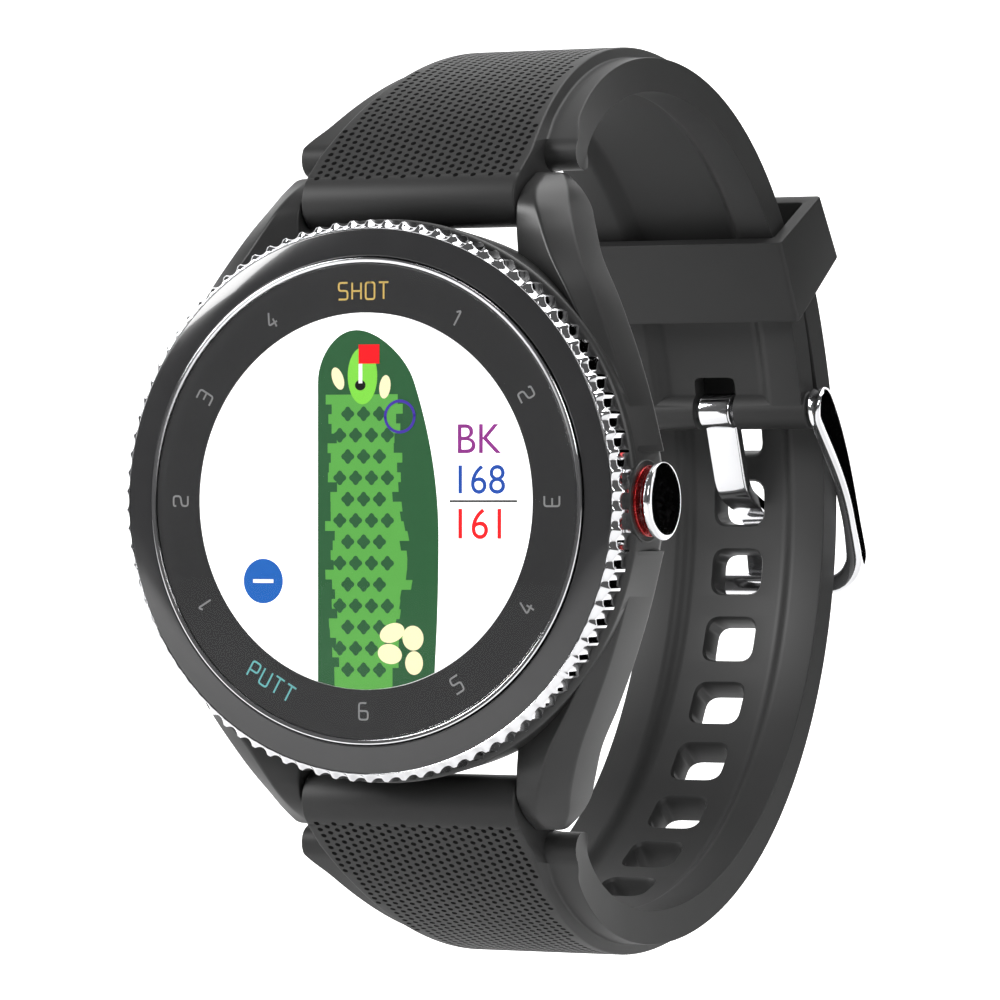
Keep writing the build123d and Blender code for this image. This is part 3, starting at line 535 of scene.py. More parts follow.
FIGURE_PEN = 0.15
FIGURE_EASE = 0.17
FIGURE_RADIUS = 16.95


def figures(word, hour, tops_out, spacing=0.92):
    """Strokes of a word on the scale at an hour, its figures' tops outwards or towards the middle."""
    turn = np.radians(hour * 30)
    up = np.array([np.sin(turn), np.cos(turn)]) * (1 if tops_out else -1)
    right = np.array([up[1], -up[0]])
    centre = np.array([np.sin(turn), np.cos(turn)]) * FIGURE_RADIUS
    width = (len(word) - 1) * spacing + 0.6
    made = []
    for place, figure in enumerate(word):
        for stroke in STROKES[figure]:
            run = eased_line(stroke, FIGURE_EASE) + (place * spacing - width / 2, -0.5)
            run = centre + FIGURE_HEIGHT * (run[:, :1] * right + run[:, 1:] * up)
            made.append(ribbon(run, FIGURE_PEN))
    return made


# %% The scale's numerals
PRINT_HEIGHT = scale_top + 0.015
hours = [(n, str(n), n < 4) for n in range(1, 7)] + [(n + 7, str(n), True) for n in range(1, 5)]
strokes = [stroke for hour, word, tops_out in hours for stroke in figures(word, hour, tops_out)]
numerals = flat("scale_numerals", strokes, PRINT_HEIGHT)
settle(numerals, colour_print("grey ink", grey(0.30)), "watch", "scale_print")
shot = flat("scale_label_top", figures("SHOT", 0, True), PRINT_HEIGHT)
settle(shot, colour_print("yellow ink", (0.80, 0.56, 0.16)), "watch", "scale_print")
putt = flat("scale_label_low", figures("PUTT", 7, False), PRINT_HEIGHT)
settle(putt, colour_print("cyan ink", (0.18, 0.55, 0.55)), "watch", "scale_print")

# %% [markdown]
# ## The display
# A screen with a simple map of a golf hole: rough, fairway, bunkers, green, flag and a ring for the
# aiming point, with two distances beside it. The map is an own drawing, layer over layer. The glow of
# the panel and the map is painted light, which keeps the screen bright whatever the lamps.

# %% The panel and the map, with a painted glow
# The screen's emission is painted light: the panel glows to stay white whatever the lamps, and the map pieces
# glow at half strength.
PAINTED_GLOW_STRENGTH = 1.0
screen = Finish("lit screen", Roughness=0.4, Specular_IOR_Level=0.2, Emission_Strength=PAINTED_GLOW_STRENGTH)
grain = screen.noise(0.2, 1.0)
white = screen.mix(grain, grey(0.93), grey(0.96))
screen.set(Base_Color=white, Emission_Color=white)
dress(nodes["display_panel"], screen.material)

LAYER_THICKNESS = 0.005
LAYER_STEP = 0.006
layer = heights("display_panel")[1] + 0.002 + LAYER_STEP * np.arange(1, 9)


def lit(made, colour):
    """Settle a piece of the picture in its own colour, with half the screen's painted glow."""
    return settle(made, colour_print(made.name.replace("_", " "), colour, PAINTED_GLOW_STRENGTH / 2), "watch", "display_glass")


def map_piece(name, outlines, level, colour):
    """One colour of the map, on its own layer."""
    return lit(flat(name, outlines, layer[level], LAYER_THICKNESS), colour)


def to_the_rim(outline):
    """Close an outline that starts and ends at the foot of the map with an arc along the screen's rim."""
    radius = SCREEN_RADIUS - 0.05
    x = np.linspace(outline[-1, 0], outline[0, 0], 32)
    return np.vstack([outline[1:-1], np.stack([x, -np.sqrt(radius ** 2 - x ** 2)], -1)])


def hole_outline(left, right, low, high, cap):
    """The rough: a column between two gently bowed sides, with a round head of a given height."""
    z = low + (high - low) * np.sin(np.linspace(0, np.pi / 2, 60))
    swell = np.where(z < -3, 0.15 * ((z + 3) / 12) ** 2, 1.05 * ((z + 3) / 15) ** 2)
    head = np.sqrt(np.clip(1 - (np.maximum(z - (high - cap), 0) / cap) ** 2, 0, 1))
    side_left, side_right = np.full_like(z, left), right - swell * 3.0
    middle, half = (side_left + side_right) / 2, (side_right - side_left) / 2 * head
    return to_the_rim(np.vstack([np.stack([middle - half, z], -1), np.stack([middle + half, z], -1)[::-1]]))


DEEP_GREEN = (0.022, 0.095, 0.035)
map_piece("map_rough", [hole_outline(-4.2, 6.8, -13.6, 13.8, 4.2)], 0, DEEP_GREEN)

# fairway: a column whose edges step in and out, with a staggered lattice of darker tufts on it
FAIRWAY_STEPS = 30
step_z = np.repeat(np.linspace(-14.2, 8.6, FAIRWAY_STEPS), 2)[1:-1]
number = np.arange(FAIRWAY_STEPS - 1)
wiggle = np.repeat(0.35 * np.sin(number * 2.4) + 0.25 * np.sin(number * 1.1), 2)
fair_left = -3.0 + wiggle + np.clip((-step_z - 4) / 30, 0, 1)
fair_right = 3.1 + wiggle[::-1] + 0.9 * np.exp(-((step_z + 5) / 3.5) ** 2)
fairway = np.vstack([np.stack([fair_left, step_z], -1), np.stack([fair_right, step_z], -1)[::-1]])
map_piece("map_fairway", [to_the_rim(fairway)], 1, (0.10, 0.36, 0.065))
TUFT_ROWS = 13
tuft_x, tuft_z = np.meshgrid(np.arange(-2, 3) * 1.45, np.arange(TUFT_ROWS) * 1.72 - 13.6)
tuft_x = tuft_x + np.where(np.arange(TUFT_ROWS) % 2 == 0, 0.0, 0.72)[:, None]
inside = np.abs(tuft_x - 0.05) < 2.8
a = np.linspace(0, 2 * np.pi, 24, endpoint=False)
lobes = 0.52 * (1 + 0.16 * np.cos(4 * a))
shape = np.stack([lobes * np.cos(a), lobes * np.sin(a)], -1)
tufts = [shape + centre for centre in np.stack([tuft_x[inside], tuft_z[inside]], -1)]
map_piece("map_tufts", tufts, 2, DEEP_GREEN)
map_piece("map_green", [ellipse(-0.1, 10.1, 1.35, 2.3)], 3, (0.20, 0.62, 0.06))
sand = [ellipse(*bunker) for bunker in (
    (-2.35, 9.9, 0.5, 0.95, 22), (1.95, 9.2, 0.5, 0.95, -8), (2.6, -10.6, 1.15, 0.75, 20),
    (4.5, -11.0, 0.95, 1.0, 10), (2.4, -12.3, 1.1, 0.8, -10), (4.6, -13.0, 0.8, 0.95, 0),
)]
map_piece("map_sand", sand, 4, (0.87, 0.80, 0.50))
map_piece("map_cup", [ellipse(-0.3, 9.35, 0.48, 0.42)], 4, grey(0.004))
map_piece("map_pole", [ribbon([(-0.28, 9.5), (-0.28, 12.0)], 0.34)], 5, grey(0.90))
map_piece("map_flag", [ribbon([(-0.45, 11.85), (1.45, 11.85)], 1.55)], 6, (0.80, 0.006, 0.012))
ring = ellipse(3.3, 6.8, 1.32, 1.25)
halves = [ribbon(np.roll(ring, k, 0)[:26], 0.24) for k in (0, 24)]
map_piece("map_aim_ring", halves, 5, (0.055, 0.03, 0.33))

# %% The distances
def sign(name, text, x, z, size, level, colour):
    """Plain text made a mesh, centred on a point of the display."""
    curve = bpy.data.curves.new(name, "FONT")
    curve.body = text
    curve.size = size * MM
    curve.align_x, curve.align_y = "CENTER", "CENTER"
    writing = bpy.data.objects.new(name, curve)
    writing_mesh = bpy.data.meshes.new_from_object(writing)
    bpy.data.objects.remove(writing)
    place = Matrix.Translation((x * MM, -layer[level] * MM, z * MM))
    writing_mesh.transform(place @ Matrix.Rotation(np.pi / 2, 4, "X"))
    made = in_scene(name, writing_mesh)
    wall = made.modifiers.new("thickness", "SOLIDIFY")
    wall.thickness = LAYER_THICKNESS * MM
    wall.offset = -1
    return lit(made, colour)


sign("sign_back", "BK", 10.35, 4.85, 3.4, 1, (0.24, 0.03, 0.22))
sign("sign_far", "168", 10.4, 1.6, 3.3, 1, (0.015, 0.07, 0.36))
sign("sign_near", "161", 10.5, -1.95, 3.5, 1, (0.80, 0.01, 0.015))
map_piece("map_rule", [ribbon([(7.8, 0.0), (13.85, 0.0)], 0.16)], 1, grey(0.01))
map_piece("map_minus_disc", [ellipse(-9.25, -6.5, 1.82, 1.82)], 1, (0.012, 0.11, 0.42))
map_piece("map_minus_bar", [ribbon([(-10.2, -6.5), (-8.3, -6.5)], 0.3)], 2, grey(0.90))

# %% [markdown]
# ## The glass
# A flat mineral glass with an eased rim. It is nearly invisible from the front: a clear layer, and the
# reflection that Fresnel gives at each angle.

# %% The lens
glass = Finish("clear glass")
clear = glass.node("BsdfTransparent", {}, {"Color": grey(0.97)})
shine = glass.node("BsdfGlossy", {}, {"Color": grey(0.6), "Roughness": 0.03})
fresnel = glass.node("Fresnel", {}, {"IOR": 1.45})
blend = glass.node("MixShader", {}, {0: fresnel * 0.3, 1: clear, 2: shine})
glass.tree.links.new(blend.socket, glass.tree.nodes["Material Output"].inputs["Surface"])
glass.tree.nodes.remove(glass.shader)
lens_foot, lens_top = heights("lens")
lens_radius = node_box("lens")[1][0]
lens = turned_disc("watch_glass", lens_radius - 0.01, lens_foot + 0.01, lens_top, 0.18)
settle(lens, glass.material, "watch", "lens_glass", "lens")

# %% [markdown]
# ## The case
# The case is a turned ring with four lugs. A lug is a section of six corners that moves along Z: nine
# rows, and a cubic curve through each column of the table, so that its creases run as smooth lines.

# %% The case and its lugs
# Columns: Z, then height of the front, half width and height of the crease, half width and height of the
# outer edge, its lower end, and half width and height of the under side.
LUG_ROWS = np.array([
    (4.0, 4.2, 19.0, 8.8, 22.5, 7.9, 2.9, 21.3, 1.0),
    (8.5, 4.2, 19.1, 8.7, 21.2, 7.4, 2.6, 20.2, 1.0),
    (12.6, 4.2, 18.6, 8.5, 19.7, 6.9, 2.2, 18.7, 1.0),
    (16.7, 4.1, 16.35, 7.9, 17.9, 6.4, 1.8, 17.0, 0.8),
    (20.0, 4.3, 14.0, 6.6, 16.1, 5.3, 1.1, 15.2, 0.2),
    (22.5, 4.6, 12.7, 5.6, 14.8, 3.9, -0.4, 14.0, -0.9),
    (24.2, 4.45, 11.9, 4.7, 13.9, 2.6, -1.4, 13.1, -1.8),
    (25.6, 3.1, 11.3, 3.2, 13.2, 1.5, -0.9, 12.6, -1.2),
    (26.8, 1.0, 10.9, 1.0, 12.3, 0.7, -0.1, 11.9, -0.3),
])
LUG_INNER = 10.0
LUG_STEPS = 80
LUG_TIP = 26.5
TIP_REACH = 0.3


def through_rows(rows, z):
    """Cubic Hermite curves through the table:
    (1+2t)(1-t)^2 a + t(1-t)^2 h a' + t^2(3-2t) b - t^2(1-t) h b'."""
    knots, slope = rows[:, 0], np.gradient(rows, rows[:, 0], axis=0)
    i = np.clip(np.searchsorted(knots, z) - 1, 0, len(knots) - 2)
    h = (knots[i + 1] - knots[i])[:, None]
    t = (z[:, None] - knots[i, None]) / h
    ahead = t ** 2 * (3 - 2 * t) * rows[i + 1] - t ** 2 * (1 - t) * h * slope[i + 1]
    return (1 + 2 * t) * (1 - t) ** 2 * rows[i] + t * (1 - t) ** 2 * h * slope[i] + ahead


def lug(name, side, end):
    """One lug: sections along Z, then a tip that rounds over towards the section's own middle."""
    bend = np.linspace(0, np.pi / 2, 8)[1:]
    z = np.concatenate([np.linspace(LUG_ROWS[0, 0], LUG_TIP, LUG_STEPS), LUG_TIP + TIP_REACH * np.sin(bend)])
    _, front, crease_x, crease, edge_x, edge, rear, under_x, under = through_rows(LUG_ROWS, z).T
    inner = np.full_like(z, LUG_INNER)
    outer = [(crease_x, crease), (edge_x, edge), (edge_x, rear), (under_x, under)]
    profile = [(inner, front), *outer, (inner, under)]
    corners = np.stack([np.stack([x, -height], -1) for x, height in profile], 1)
    outline = rounded(corners, [0.22, 0.25, 0.22, 0.2, 0.3, 0.1], 4)
    shrink = np.concatenate([np.ones(LUG_STEPS), 1 - 0.2 * (1 - np.cos(bend))])[:, None, None]
    middle = outline.mean(1, keepdims=True) * (0, 1) + (LUG_INNER, 0)
    x, y = np.moveaxis(middle + (outline - middle) * shrink, -1, 0)
    return skin(name, np.stack([x * side, y, np.broadcast_to(z[:, None] * end, x.shape)], -1))


def bar_line(name):
    """(Y, Z) of a CAD bar that lies along X."""
    low, high = node_box(name)
    return (low + high)[1:] / 2


BAR = bar_line("upper_bar_tube")
LOWER_BAR = BAR * (1, -1)
BUTTON_HEIGHT = 6.7
BUTTON_LINE = (-BUTTON_HEIGHT, 0)
BUTTON_FACE = 22.85
CASE_FOOT = 1.0
FOOT_RADIUS = 21.6
REAR_RADIUS, REAR_HEIGHT = 22.35, 2.7
CASE_RADIUS = 22.9
SHOULDER = 8.9
BEVEL = 0.4
NECK_RADIUS = 20.5
NECK_TOP = 10.9
CAVITY = 18.45
case = turned("case", [
    (CAVITY, CASE_FOOT), (FOOT_RADIUS, CASE_FOOT), (REAR_RADIUS, REAR_HEIGHT),
    (CASE_RADIUS, SHOULDER - BEVEL), (CASE_RADIUS - BEVEL, SHOULDER), (NECK_RADIUS, SHOULDER),
    (NECK_RADIUS, NECK_TOP), (CAVITY, NECK_TOP),
], [0.05, 0.3, 0.5, 0.25, 0.25, 0.05, 0.1, 0.05])
for line in (BAR, LOWER_BAR):
    combine(case, cross_bar("seat", line, 2.6, LUG_INNER, 0), "DIFFERENCE")
for side, end in ((-1, -1), (-1, 1), (1, -1), (1, 1)):
    combine(case, lug("lug", side, end), "UNION")
combine(case, cross_bar("boss", BUTTON_LINE, 3.3, 1.2, 0.1, 96, BUTTON_FACE - 1.2), "UNION")
combine(case, cross_bar("bore", BUTTON_LINE, 1.95, 2.2, 0, 72, 22.8), "DIFFERENCE")
combine(case, cross_bar("bore", BUTTON_LINE, 0.85, 4.0, 0, 48, 21.0), "DIFFERENCE")
case.data.set_sharp_from_angle(angle=np.radians(30))
settle(case, resin, "watch", "case_polymer", "case_body")

# %% [markdown]
# ## The strap
# Each half is one silicone moulding. Its section is carried along a path of straight run and tangent arcs,
# and it changes as it goes: a raised band in the middle, a rail on each side, and a shallow channel along
# the wrist. Two cutters then take away the rows of perforations, the buckle holes and the bar's bore.

# %% The path round the wrist
STRAP_HEADING = np.radians(40.5)
STRAIGHT = 4.5
UPPER_BENDS = [(36.6, 40.5), (31.85, 25.0), (30.78, 39.4), (43.2, 15.0)]
LOWER_BENDS = [(36.6, 40.5), (37.35, 25.0), (36.1, 80.8), (60.0, 14.0)]


def strap_path(bends, s):
    """(Y, Z) and heading at distance s. On a bend of radius R that starts at heading a, after turning by t,
    the point has moved by R (sin a - sin(a - t), cos(a - t) - cos a)."""
    y = BAR[0] + np.cos(STRAP_HEADING) * np.minimum(s, STRAIGHT)
    z = BAR[1] + np.sin(STRAP_HEADING) * np.minimum(s, STRAIGHT)
    heading, at, travelled = np.full_like(s, STRAP_HEADING), STRAP_HEADING, STRAIGHT
    for radius, sweep in bends:
        turned_by = np.clip((s - travelled) / radius, 0, np.radians(sweep))
        y = y + radius * (np.sin(at) - np.sin(at - turned_by))
        z = z + radius * (np.cos(at - turned_by) - np.cos(at))
        heading = heading - turned_by
        at -= np.radians(sweep)
        travelled += radius * np.radians(sweep)
    return y, z, heading


def path_length(bends):
    """Whole length of a strap's mid line."""
    return STRAIGHT + sum(radius * np.radians(sweep) for radius, sweep in bends)


def smooth_step(t):
    """0 below 0, 1 above 1, and 3t^2 - 2t^3 between."""
    t = np.clip(t, 0, 1)
    return t * t * (3 - 2 * t)


# %% The section of the strap
RAIL = 1.45                 # half thickness at the rails
BAND = 2.4                  # height of the band's face over the mid line
END_HALF = 9.85             # half width between the lugs
RAIL_START = 4.45           # distance at which the rails begin, just behind the lug tips
CHANNEL = 0.9               # depth of the wrist-side channel
BAND_HALF = 6.8             # half width of the band at the top of the wrist
BAND_FLARE = 3.5            # and what the lugs' end adds to it, over the band's run along Y
BAND_RUN = 32.0
RAIL_HALF = 8.8             # half width over the rails behind the wrist
RAIL_FLARE = 3.9            # and what the lugs' end adds to it, fading over a length along Y
RAIL_FADE = 10.0


def band_half(y):
    """Half width of the band: it narrows as a parabola from the lugs to the top of the wrist."""
    return np.minimum(BAND_HALF + BAND_FLARE * np.clip(1 - (y + 2) / BAND_RUN, 0, 1) ** 2, END_HALF)


def rail_half(y):
    """Half width over the rails, with an exponential flare towards the lugs."""
    return RAIL_HALF + RAIL_FLARE * np.exp(-(y - 1.3) / RAIL_FADE)


def strap_shell(name, bends, band_end, tail, mirror):
    """The swept shell. Corner columns are (x, n, lag): n is the offset from the mid line, and lag pulls a
    point along the path, so that each rail starts with a round nose: lag = R - sqrt(R^2 - n^2)."""
    length = path_length(bends)
    before = np.linspace(-0.6, RAIL_START, 12)
    s = np.concatenate([before, np.linspace(RAIL_START, length, 240)])
    railed = np.arange(s.size) >= before.size
    y, _, _ = strap_path(bends, s)
    wide = np.where(railed, rail_half(y), END_HALF)
    band = band_half(y)
    foot = np.where(railed, band + 0.22, END_HALF)
    top = RAIL + (BAND - RAIL) * (1 - smooth_step((s - band_end) / 5)) - np.where(s < 0, 0.25, 0)
    hollow = CHANNEL * smooth_step((s - 5) / 4)
    nose = np.linspace(0, np.pi, 11)
    flank = RAIL * np.cos(nose)
    lag = RAIL * (1 - np.sin(nose))
    one = np.ones_like(s)
    right = [(band, top, 0 * one), (foot, np.minimum(RAIL, top) * one, lag[0] * one)]
    right += [(wide, n * one, g * one) for n, g in zip(flank, lag)]
    right += [(5.6 * one, -RAIL * one, 0 * one), (4.7 * one, -RAIL + hollow, 0 * one)]
    ease = [0.22, 0.25, 0.30] + [0.0] * 9 + [0.20, 0.5, 0.5]
    half = np.stack([np.stack(c, -1) for c in right], 1)
    whole = np.concatenate([half, half[:, ::-1] * (-1, 1, 1)], 1)
    outline = rounded(whole, np.array(ease + ease[::-1]), 3)
    closing = np.clip((s - (length - tail)) / max(tail, 1e-6), 0, 0.985) if tail else 0 * s
    pinch = (1 - closing ** 3) ** (1 / 3)
    fade = smooth_step(s / RAIL_START) * (1 - smooth_step((s - RAIL_START) / 5))
    reach = s[:, None] + outline[..., 2] * fade[:, None]
    y, z, heading = strap_path(bends, reach)
    x = outline[..., 0] * pinch[:, None]
    n = outline[..., 1]
    return skin(name, np.stack([x, y - n * np.sin(heading), (z + n * np.cos(heading)) * mirror], -1))


# %% Cutters
def levelled(outline, levels):
    """Copies of a flat outline, one for each (height, scale), as (rings, n, 3)."""
    return np.stack([np.column_stack([outline * size, np.full(len(outline), h)]) for h, size in levels])


def prisms(name, seats, outward_dirs, across_dirs, outlines):
    """Many closed cutters at once. outlines is (rings, n, 3): two coordinates across and one along the
    outward direction. Each seat gets one prism, all worked out in one broadcast."""
    rings, n, _ = outlines.shape
    third = np.cross(outward_dirs, across_dirs)
    axes = np.stack([across_dirs, third, outward_dirs], 1)
    points = seats[:, None, None, :] + np.einsum("rnk,pkc->prnc", outlines, axes)
    sides = grid_quads(rings, n, False, True)
    block = rings * n
    faces = []
    for number in range(len(seats)):
        faces += (sides + number * block).tolist()
        faces += [[number * block + k for k in range(n)], [number * block + block - n + k for k in range(n)]]
    return piece(name, points, faces)


SQUARE = np.array([(-1, -1), (1, -1), (1, 1), (-1, 1)])
DOT_PITCH = 0.81            # along a column
COLUMN_PITCH = 0.805        # between two columns; every other column is half a pitch further on
DOT_RADIUS = 0.25
DOT_DEPTH = 0.4
DOT_FLOOR = 0.15            # radius of the drill's flat tip
DOT_MARGIN = 0.72
DOT_END = 27.0              # Y of the last row


def perforations(name, bends, mirror):
    """Blind round holes in staggered columns over the band, left out where the band gets too narrow."""
    fine = np.linspace(0, 60, 1200)
    y, z, heading = strap_path(bends, fine)
    face = np.stack([y - BAND * np.sin(heading), z + BAND * np.cos(heading)], -1)
    walked = np.concatenate([[0], np.cumsum(np.linalg.norm(np.diff(face, axis=0), axis=1))])
    column = np.arange(-11, 12)
    row = np.arange(60)
    along = 0.15 + DOT_PITCH * (row[:, None] + 0.5 * (column[None, :] % 2 == 0))
    s = np.interp(along, walked, fine)
    x = np.broadcast_to(column * COLUMN_PITCH, s.shape)
    y, z, heading = strap_path(bends, s)
    kept = (np.abs(x) + DOT_MARGIN < band_half(y - BAND * np.sin(heading))) & (y < DOT_END)
    x, y, z, heading = x[kept], y[kept], z[kept], heading[kept]
    out = np.stack([0 * x, -np.sin(heading), np.cos(heading) * mirror], -1)
    seat = np.stack([x, y, z * mirror], -1) + out * BAND
    levels = [(0.3, DOT_RADIUS), (-0.25, DOT_RADIUS), (-DOT_DEPTH, DOT_FLOOR)]
    rings = levelled(ellipse(0, 0, 1, 1, count=12), levels)
    across = np.broadcast_to((1.0, 0.0, 0.0), out.shape)
    print(len(x), "perforations in", name)
    return prisms(name, seat, out, across, rings)


# %% The upper half
UPPER_LENGTH = path_length(UPPER_BENDS)
end_y, end_z, end_heading = strap_path(UPPER_BENDS, np.array([UPPER_LENGTH]))
print("upper mid line", round(UPPER_LENGTH, 1), "mm, ends at", end_y.round(2), end_z.round(2))
BUCKLE_BAR = bar_line("buckle_bar_tube")
BAR_BORE = 0.92
BORE_HALF = 12

upper = strap_shell("upper_strap_moulding", UPPER_BENDS, 52.0, 0.0, 1)
combine(upper, cross_bar("end", BAR, BAND, END_HALF), "UNION")
combine(upper, cross_bar("end", BUCKLE_BAR, 1.7, 9.1), "UNION")
combine(upper, perforations("dots", UPPER_BENDS, 1), "DIFFERENCE")
for line in (BAR, BUCKLE_BAR):
    combine(upper, cross_bar("bore", line, BAR_BORE, BORE_HALF, 0), "DIFFERENCE")
notch = levelled(rounded(SQUARE * (2.0, 3.4), 0.6), [(-5.0, 1), (5.0, 1)])
seat = np.array([[0.0, BUCKLE_BAR[0] + 0.1, BUCKLE_BAR[1] - 0.2]])
out = np.column_stack([[0.0], -np.sin(end_heading), np.cos(end_heading)])
combine(upper, prisms("notch", seat, out, X[None, :], notch), "DIFFERENCE")
settle(upper, silicone, "watch", "strap_silicone", "upper_strap")

# %% The lower half
HOLE_STEP = 10.25
HOLE_COUNT = 9
HOLE_WIDTH = 4.7
HOLE_LENGTH = 4.0
back_radius = LOWER_BENDS[2][0]
bend_start = path_length(LOWER_BENDS[:2])
start_y, start_z, start_heading = strap_path(LOWER_BENDS, np.array([bend_start]))
back_centre = np.array([
    start_y[0] + back_radius * np.sin(start_heading[0]), start_z[0] - back_radius * np.cos(start_heading[0]),
])
angle = np.radians((np.arange(HOLE_COUNT) - 1) * HOLE_STEP)
out = np.stack([0 * angle, np.cos(angle), -np.sin(angle)], -1)
seat = np.array([0, back_centre[0], -back_centre[1]]) + out * back_radius
window = rounded(SQUARE * (HOLE_WIDTH / 2, HOLE_LENGTH / 2), 1.25, 6)
levels = [(-RAIL + CHANNEL - 0.5, 1.22), (-RAIL + CHANNEL + 0.25, 1.0), (BAND - 0.3, 1.0), (BAND + 0.4, 1.2)]

lower = strap_shell("lower_strap_moulding", LOWER_BENDS, 300.0, 7.0, -1)
combine(lower, cross_bar("end", LOWER_BAR, BAND, END_HALF), "UNION")
combine(lower, perforations("dots", LOWER_BENDS, -1), "DIFFERENCE")
combine(lower, cross_bar("bore", LOWER_BAR, BAR_BORE, BORE_HALF, 0), "DIFFERENCE")
holes = prisms("holes", seat, out, np.broadcast_to(X, out.shape), levelled(window, levels))
combine(lower, holes, "DIFFERENCE")
settle(lower, silicone, "watch", "strap_silicone", "lower_strap")
print("back bend centred on", back_centre.round(2))

# %% [markdown]
# ## Keeper, buckle and tongue
# The keeper is a band of silicone round both straps: one rectangular section carried round a rectangular
# loop. The buckle is a polished D: its arms are deep at the bar and slim at the cross bar.

# %% The keeper
FRONT_IN, FRONT_OUT = np.array([51.2, 16.0]), np.array([60.1, 22.2])
BACK_IN, BACK_OUT = np.array([47.3, 22.9]), np.array([56.1, 27.5])
KEEPER_HALF = 10.3
KEEPER_BORE = 9.1
KEEPER_DEPTH = 10.9


def keeper_points(x, q, v):
    """q runs from the wrist side to the outside, and v from the front edge to the back one."""
    front = FRONT_IN + q[..., None] * (FRONT_OUT - FRONT_IN)
    back = BACK_IN + q[..., None] * (BACK_OUT - BACK_IN)
    side = front + v[..., None] * (back - front)
    return np.concatenate([x[..., None], side], -1)


def loop(half, low, high, radius):
    """A rounded rectangle in (x, q), sampled evenly, as one row of the keeper. q counts its depth as 1."""
    low, high = low * KEEPER_DEPTH, high * KEEPER_DEPTH
    corners = np.array([(-half, low), (half, low), (half, high), (-half, high)])
    return rounded(corners, radius, 8) / (1, KEEPER_DEPTH)


outer, inner = loop(KEEPER_HALF, 0.0, 1.0, 0.45), loop(KEEPER_BORE, 0.115, 0.865, 0.5)
ends = [(outer, 0.0), (outer, 1.0), (inner, 1.0), (inner, 0.0)]
ring_corners = np.stack([keeper_points(row[:, 0], row[:, 1], np.full(len(row), v)) for row, v in ends], 1)
ring = rounded(ring_corners, 0.14, 3)
keeper = piece("strap_keeper", ring, grid_quads(*ring.shape[:2], True, True), 30)
settle(keeper, silicone, "keeper_loop", "strap_silicone", "keeper")

# %% The buckle frame
CROSS_BAR = np.array([65.3, -7.6])
BULGE = np.array([63.4, 1.6])                # control point of the arms' curve, in (Y, Z)
FRAME_MIDDLE = 10.08
ARM_LENGTH = 18.2
HEAD_RADIUS = 2.1
SLIM = 0.95                                  # half depth of the frame's rear half
CORNER = 3.0


def arm_line(v):
    """(Y, Z) and its normal on the arms' curve, a distance v from the bar. It is the quadratic Bezier
    (1-t)^2 bar + 2t(1-t) bulge + t^2 cross bar, and before the bar it runs on straight."""
    t = np.clip(v / ARM_LENGTH, 0, 1)[:, None]
    at = (1 - t) ** 2 * BUCKLE_BAR + 2 * t * (1 - t) * BULGE + t ** 2 * CROSS_BAR
    way = unit(2 * (1 - t) * (BULGE - BUCKLE_BAR) + 2 * t * (CROSS_BAR - BULGE))
    return at + way * np.minimum(v, 0)[:, None], way, np.stack([way[:, 1], -way[:, 0]], -1)


def half_u(count):
    """Plan of the left half of the frame, (x, v): up the arm, a quarter round and half the cross bar."""
    head = -HEAD_RADIUS * np.cos(np.linspace(0.04, np.pi / 2, 14))
    arm = np.linspace(0, ARM_LENGTH - CORNER, count)[1:]
    bend = np.linspace(0, np.pi / 2, 12)[1:]
    bar = np.linspace(-FRAME_MIDDLE + CORNER, 0, count)[1:]
    bend_x = -FRAME_MIDDLE + CORNER * (1 - np.cos(bend))
    x = np.concatenate([np.full(head.size + arm.size, -FRAME_MIDDLE), bend_x, bar])
    bend_v = ARM_LENGTH - CORNER * (1 - np.sin(bend))
    v = np.concatenate([head, arm, bend_v, np.full(bar.size, ARM_LENGTH)])
    return np.stack([x, v], -1)


plan = half_u(24)
plan = np.vstack([plan, (plan[:-1] * (-1, 1))[::-1]])
step = unit(np.gradient(plan, axis=0))
at, way, normal = arm_line(plan[:, 1])
depth = np.where(plan[:, 1] < 0, np.sqrt(np.maximum(HEAD_RADIUS ** 2 - plan[:, 1] ** 2, 0.0004)),
                 HEAD_RADIUS + (SLIM - HEAD_RADIUS) * smooth_step(plan[:, 1] / 12))
thick = 0.70 + 0.2 * smooth_step((plan[:, 1] - 12) / 5)
thick = thick * np.where(plan[:, 1] < 0, np.clip(depth / 0.7, 0.05, 1), 1)
theta = np.linspace(0, 2 * np.pi, 32, endpoint=False)
square = 0.62                                # a superellipse: |cos|^0.62 and |sin|^0.62 give eased flats
across = np.sign(np.cos(theta)) * np.abs(np.cos(theta)) ** square
up = np.sign(np.sin(theta)) * np.abs(np.sin(theta)) ** square
side = np.column_stack([step[:, 1], -step[:, 0:1] * way])      # across the path, in the frame's own sheet
spine = np.column_stack([plan[:, 0], at])
lift = np.column_stack([0 * plan[:, 0], normal])
points = spine[:, None] + side[:, None] * (across * thick[:, None])[..., None]
points = points + lift[:, None] * (up * depth[:, None])[..., None]
buckle = skin("buckle_d_frame", points, 50)
settle(buckle, steel, "frame", "polished_steel", "buckle_frame")

# %% The tongue
def flat_bar(name, line, width, thickness, ease):
    """A strip with an eased rectangular section, carried along a line in the (Y, Z) plane."""
    way = unit(np.gradient(line, axis=0))
    normal = np.stack([way[:, 1], -way[:, 0]], -1)
    section = rounded(SQUARE * (width / 2, thickness / 2), ease, 4)
    points = np.concatenate([
        np.broadcast_to(section[None, :, :1], (len(line), len(section), 1)),
        line[:, None] + normal[:, None] * section[None, :, 1:],
    ], -1)
    return skin(name, points)


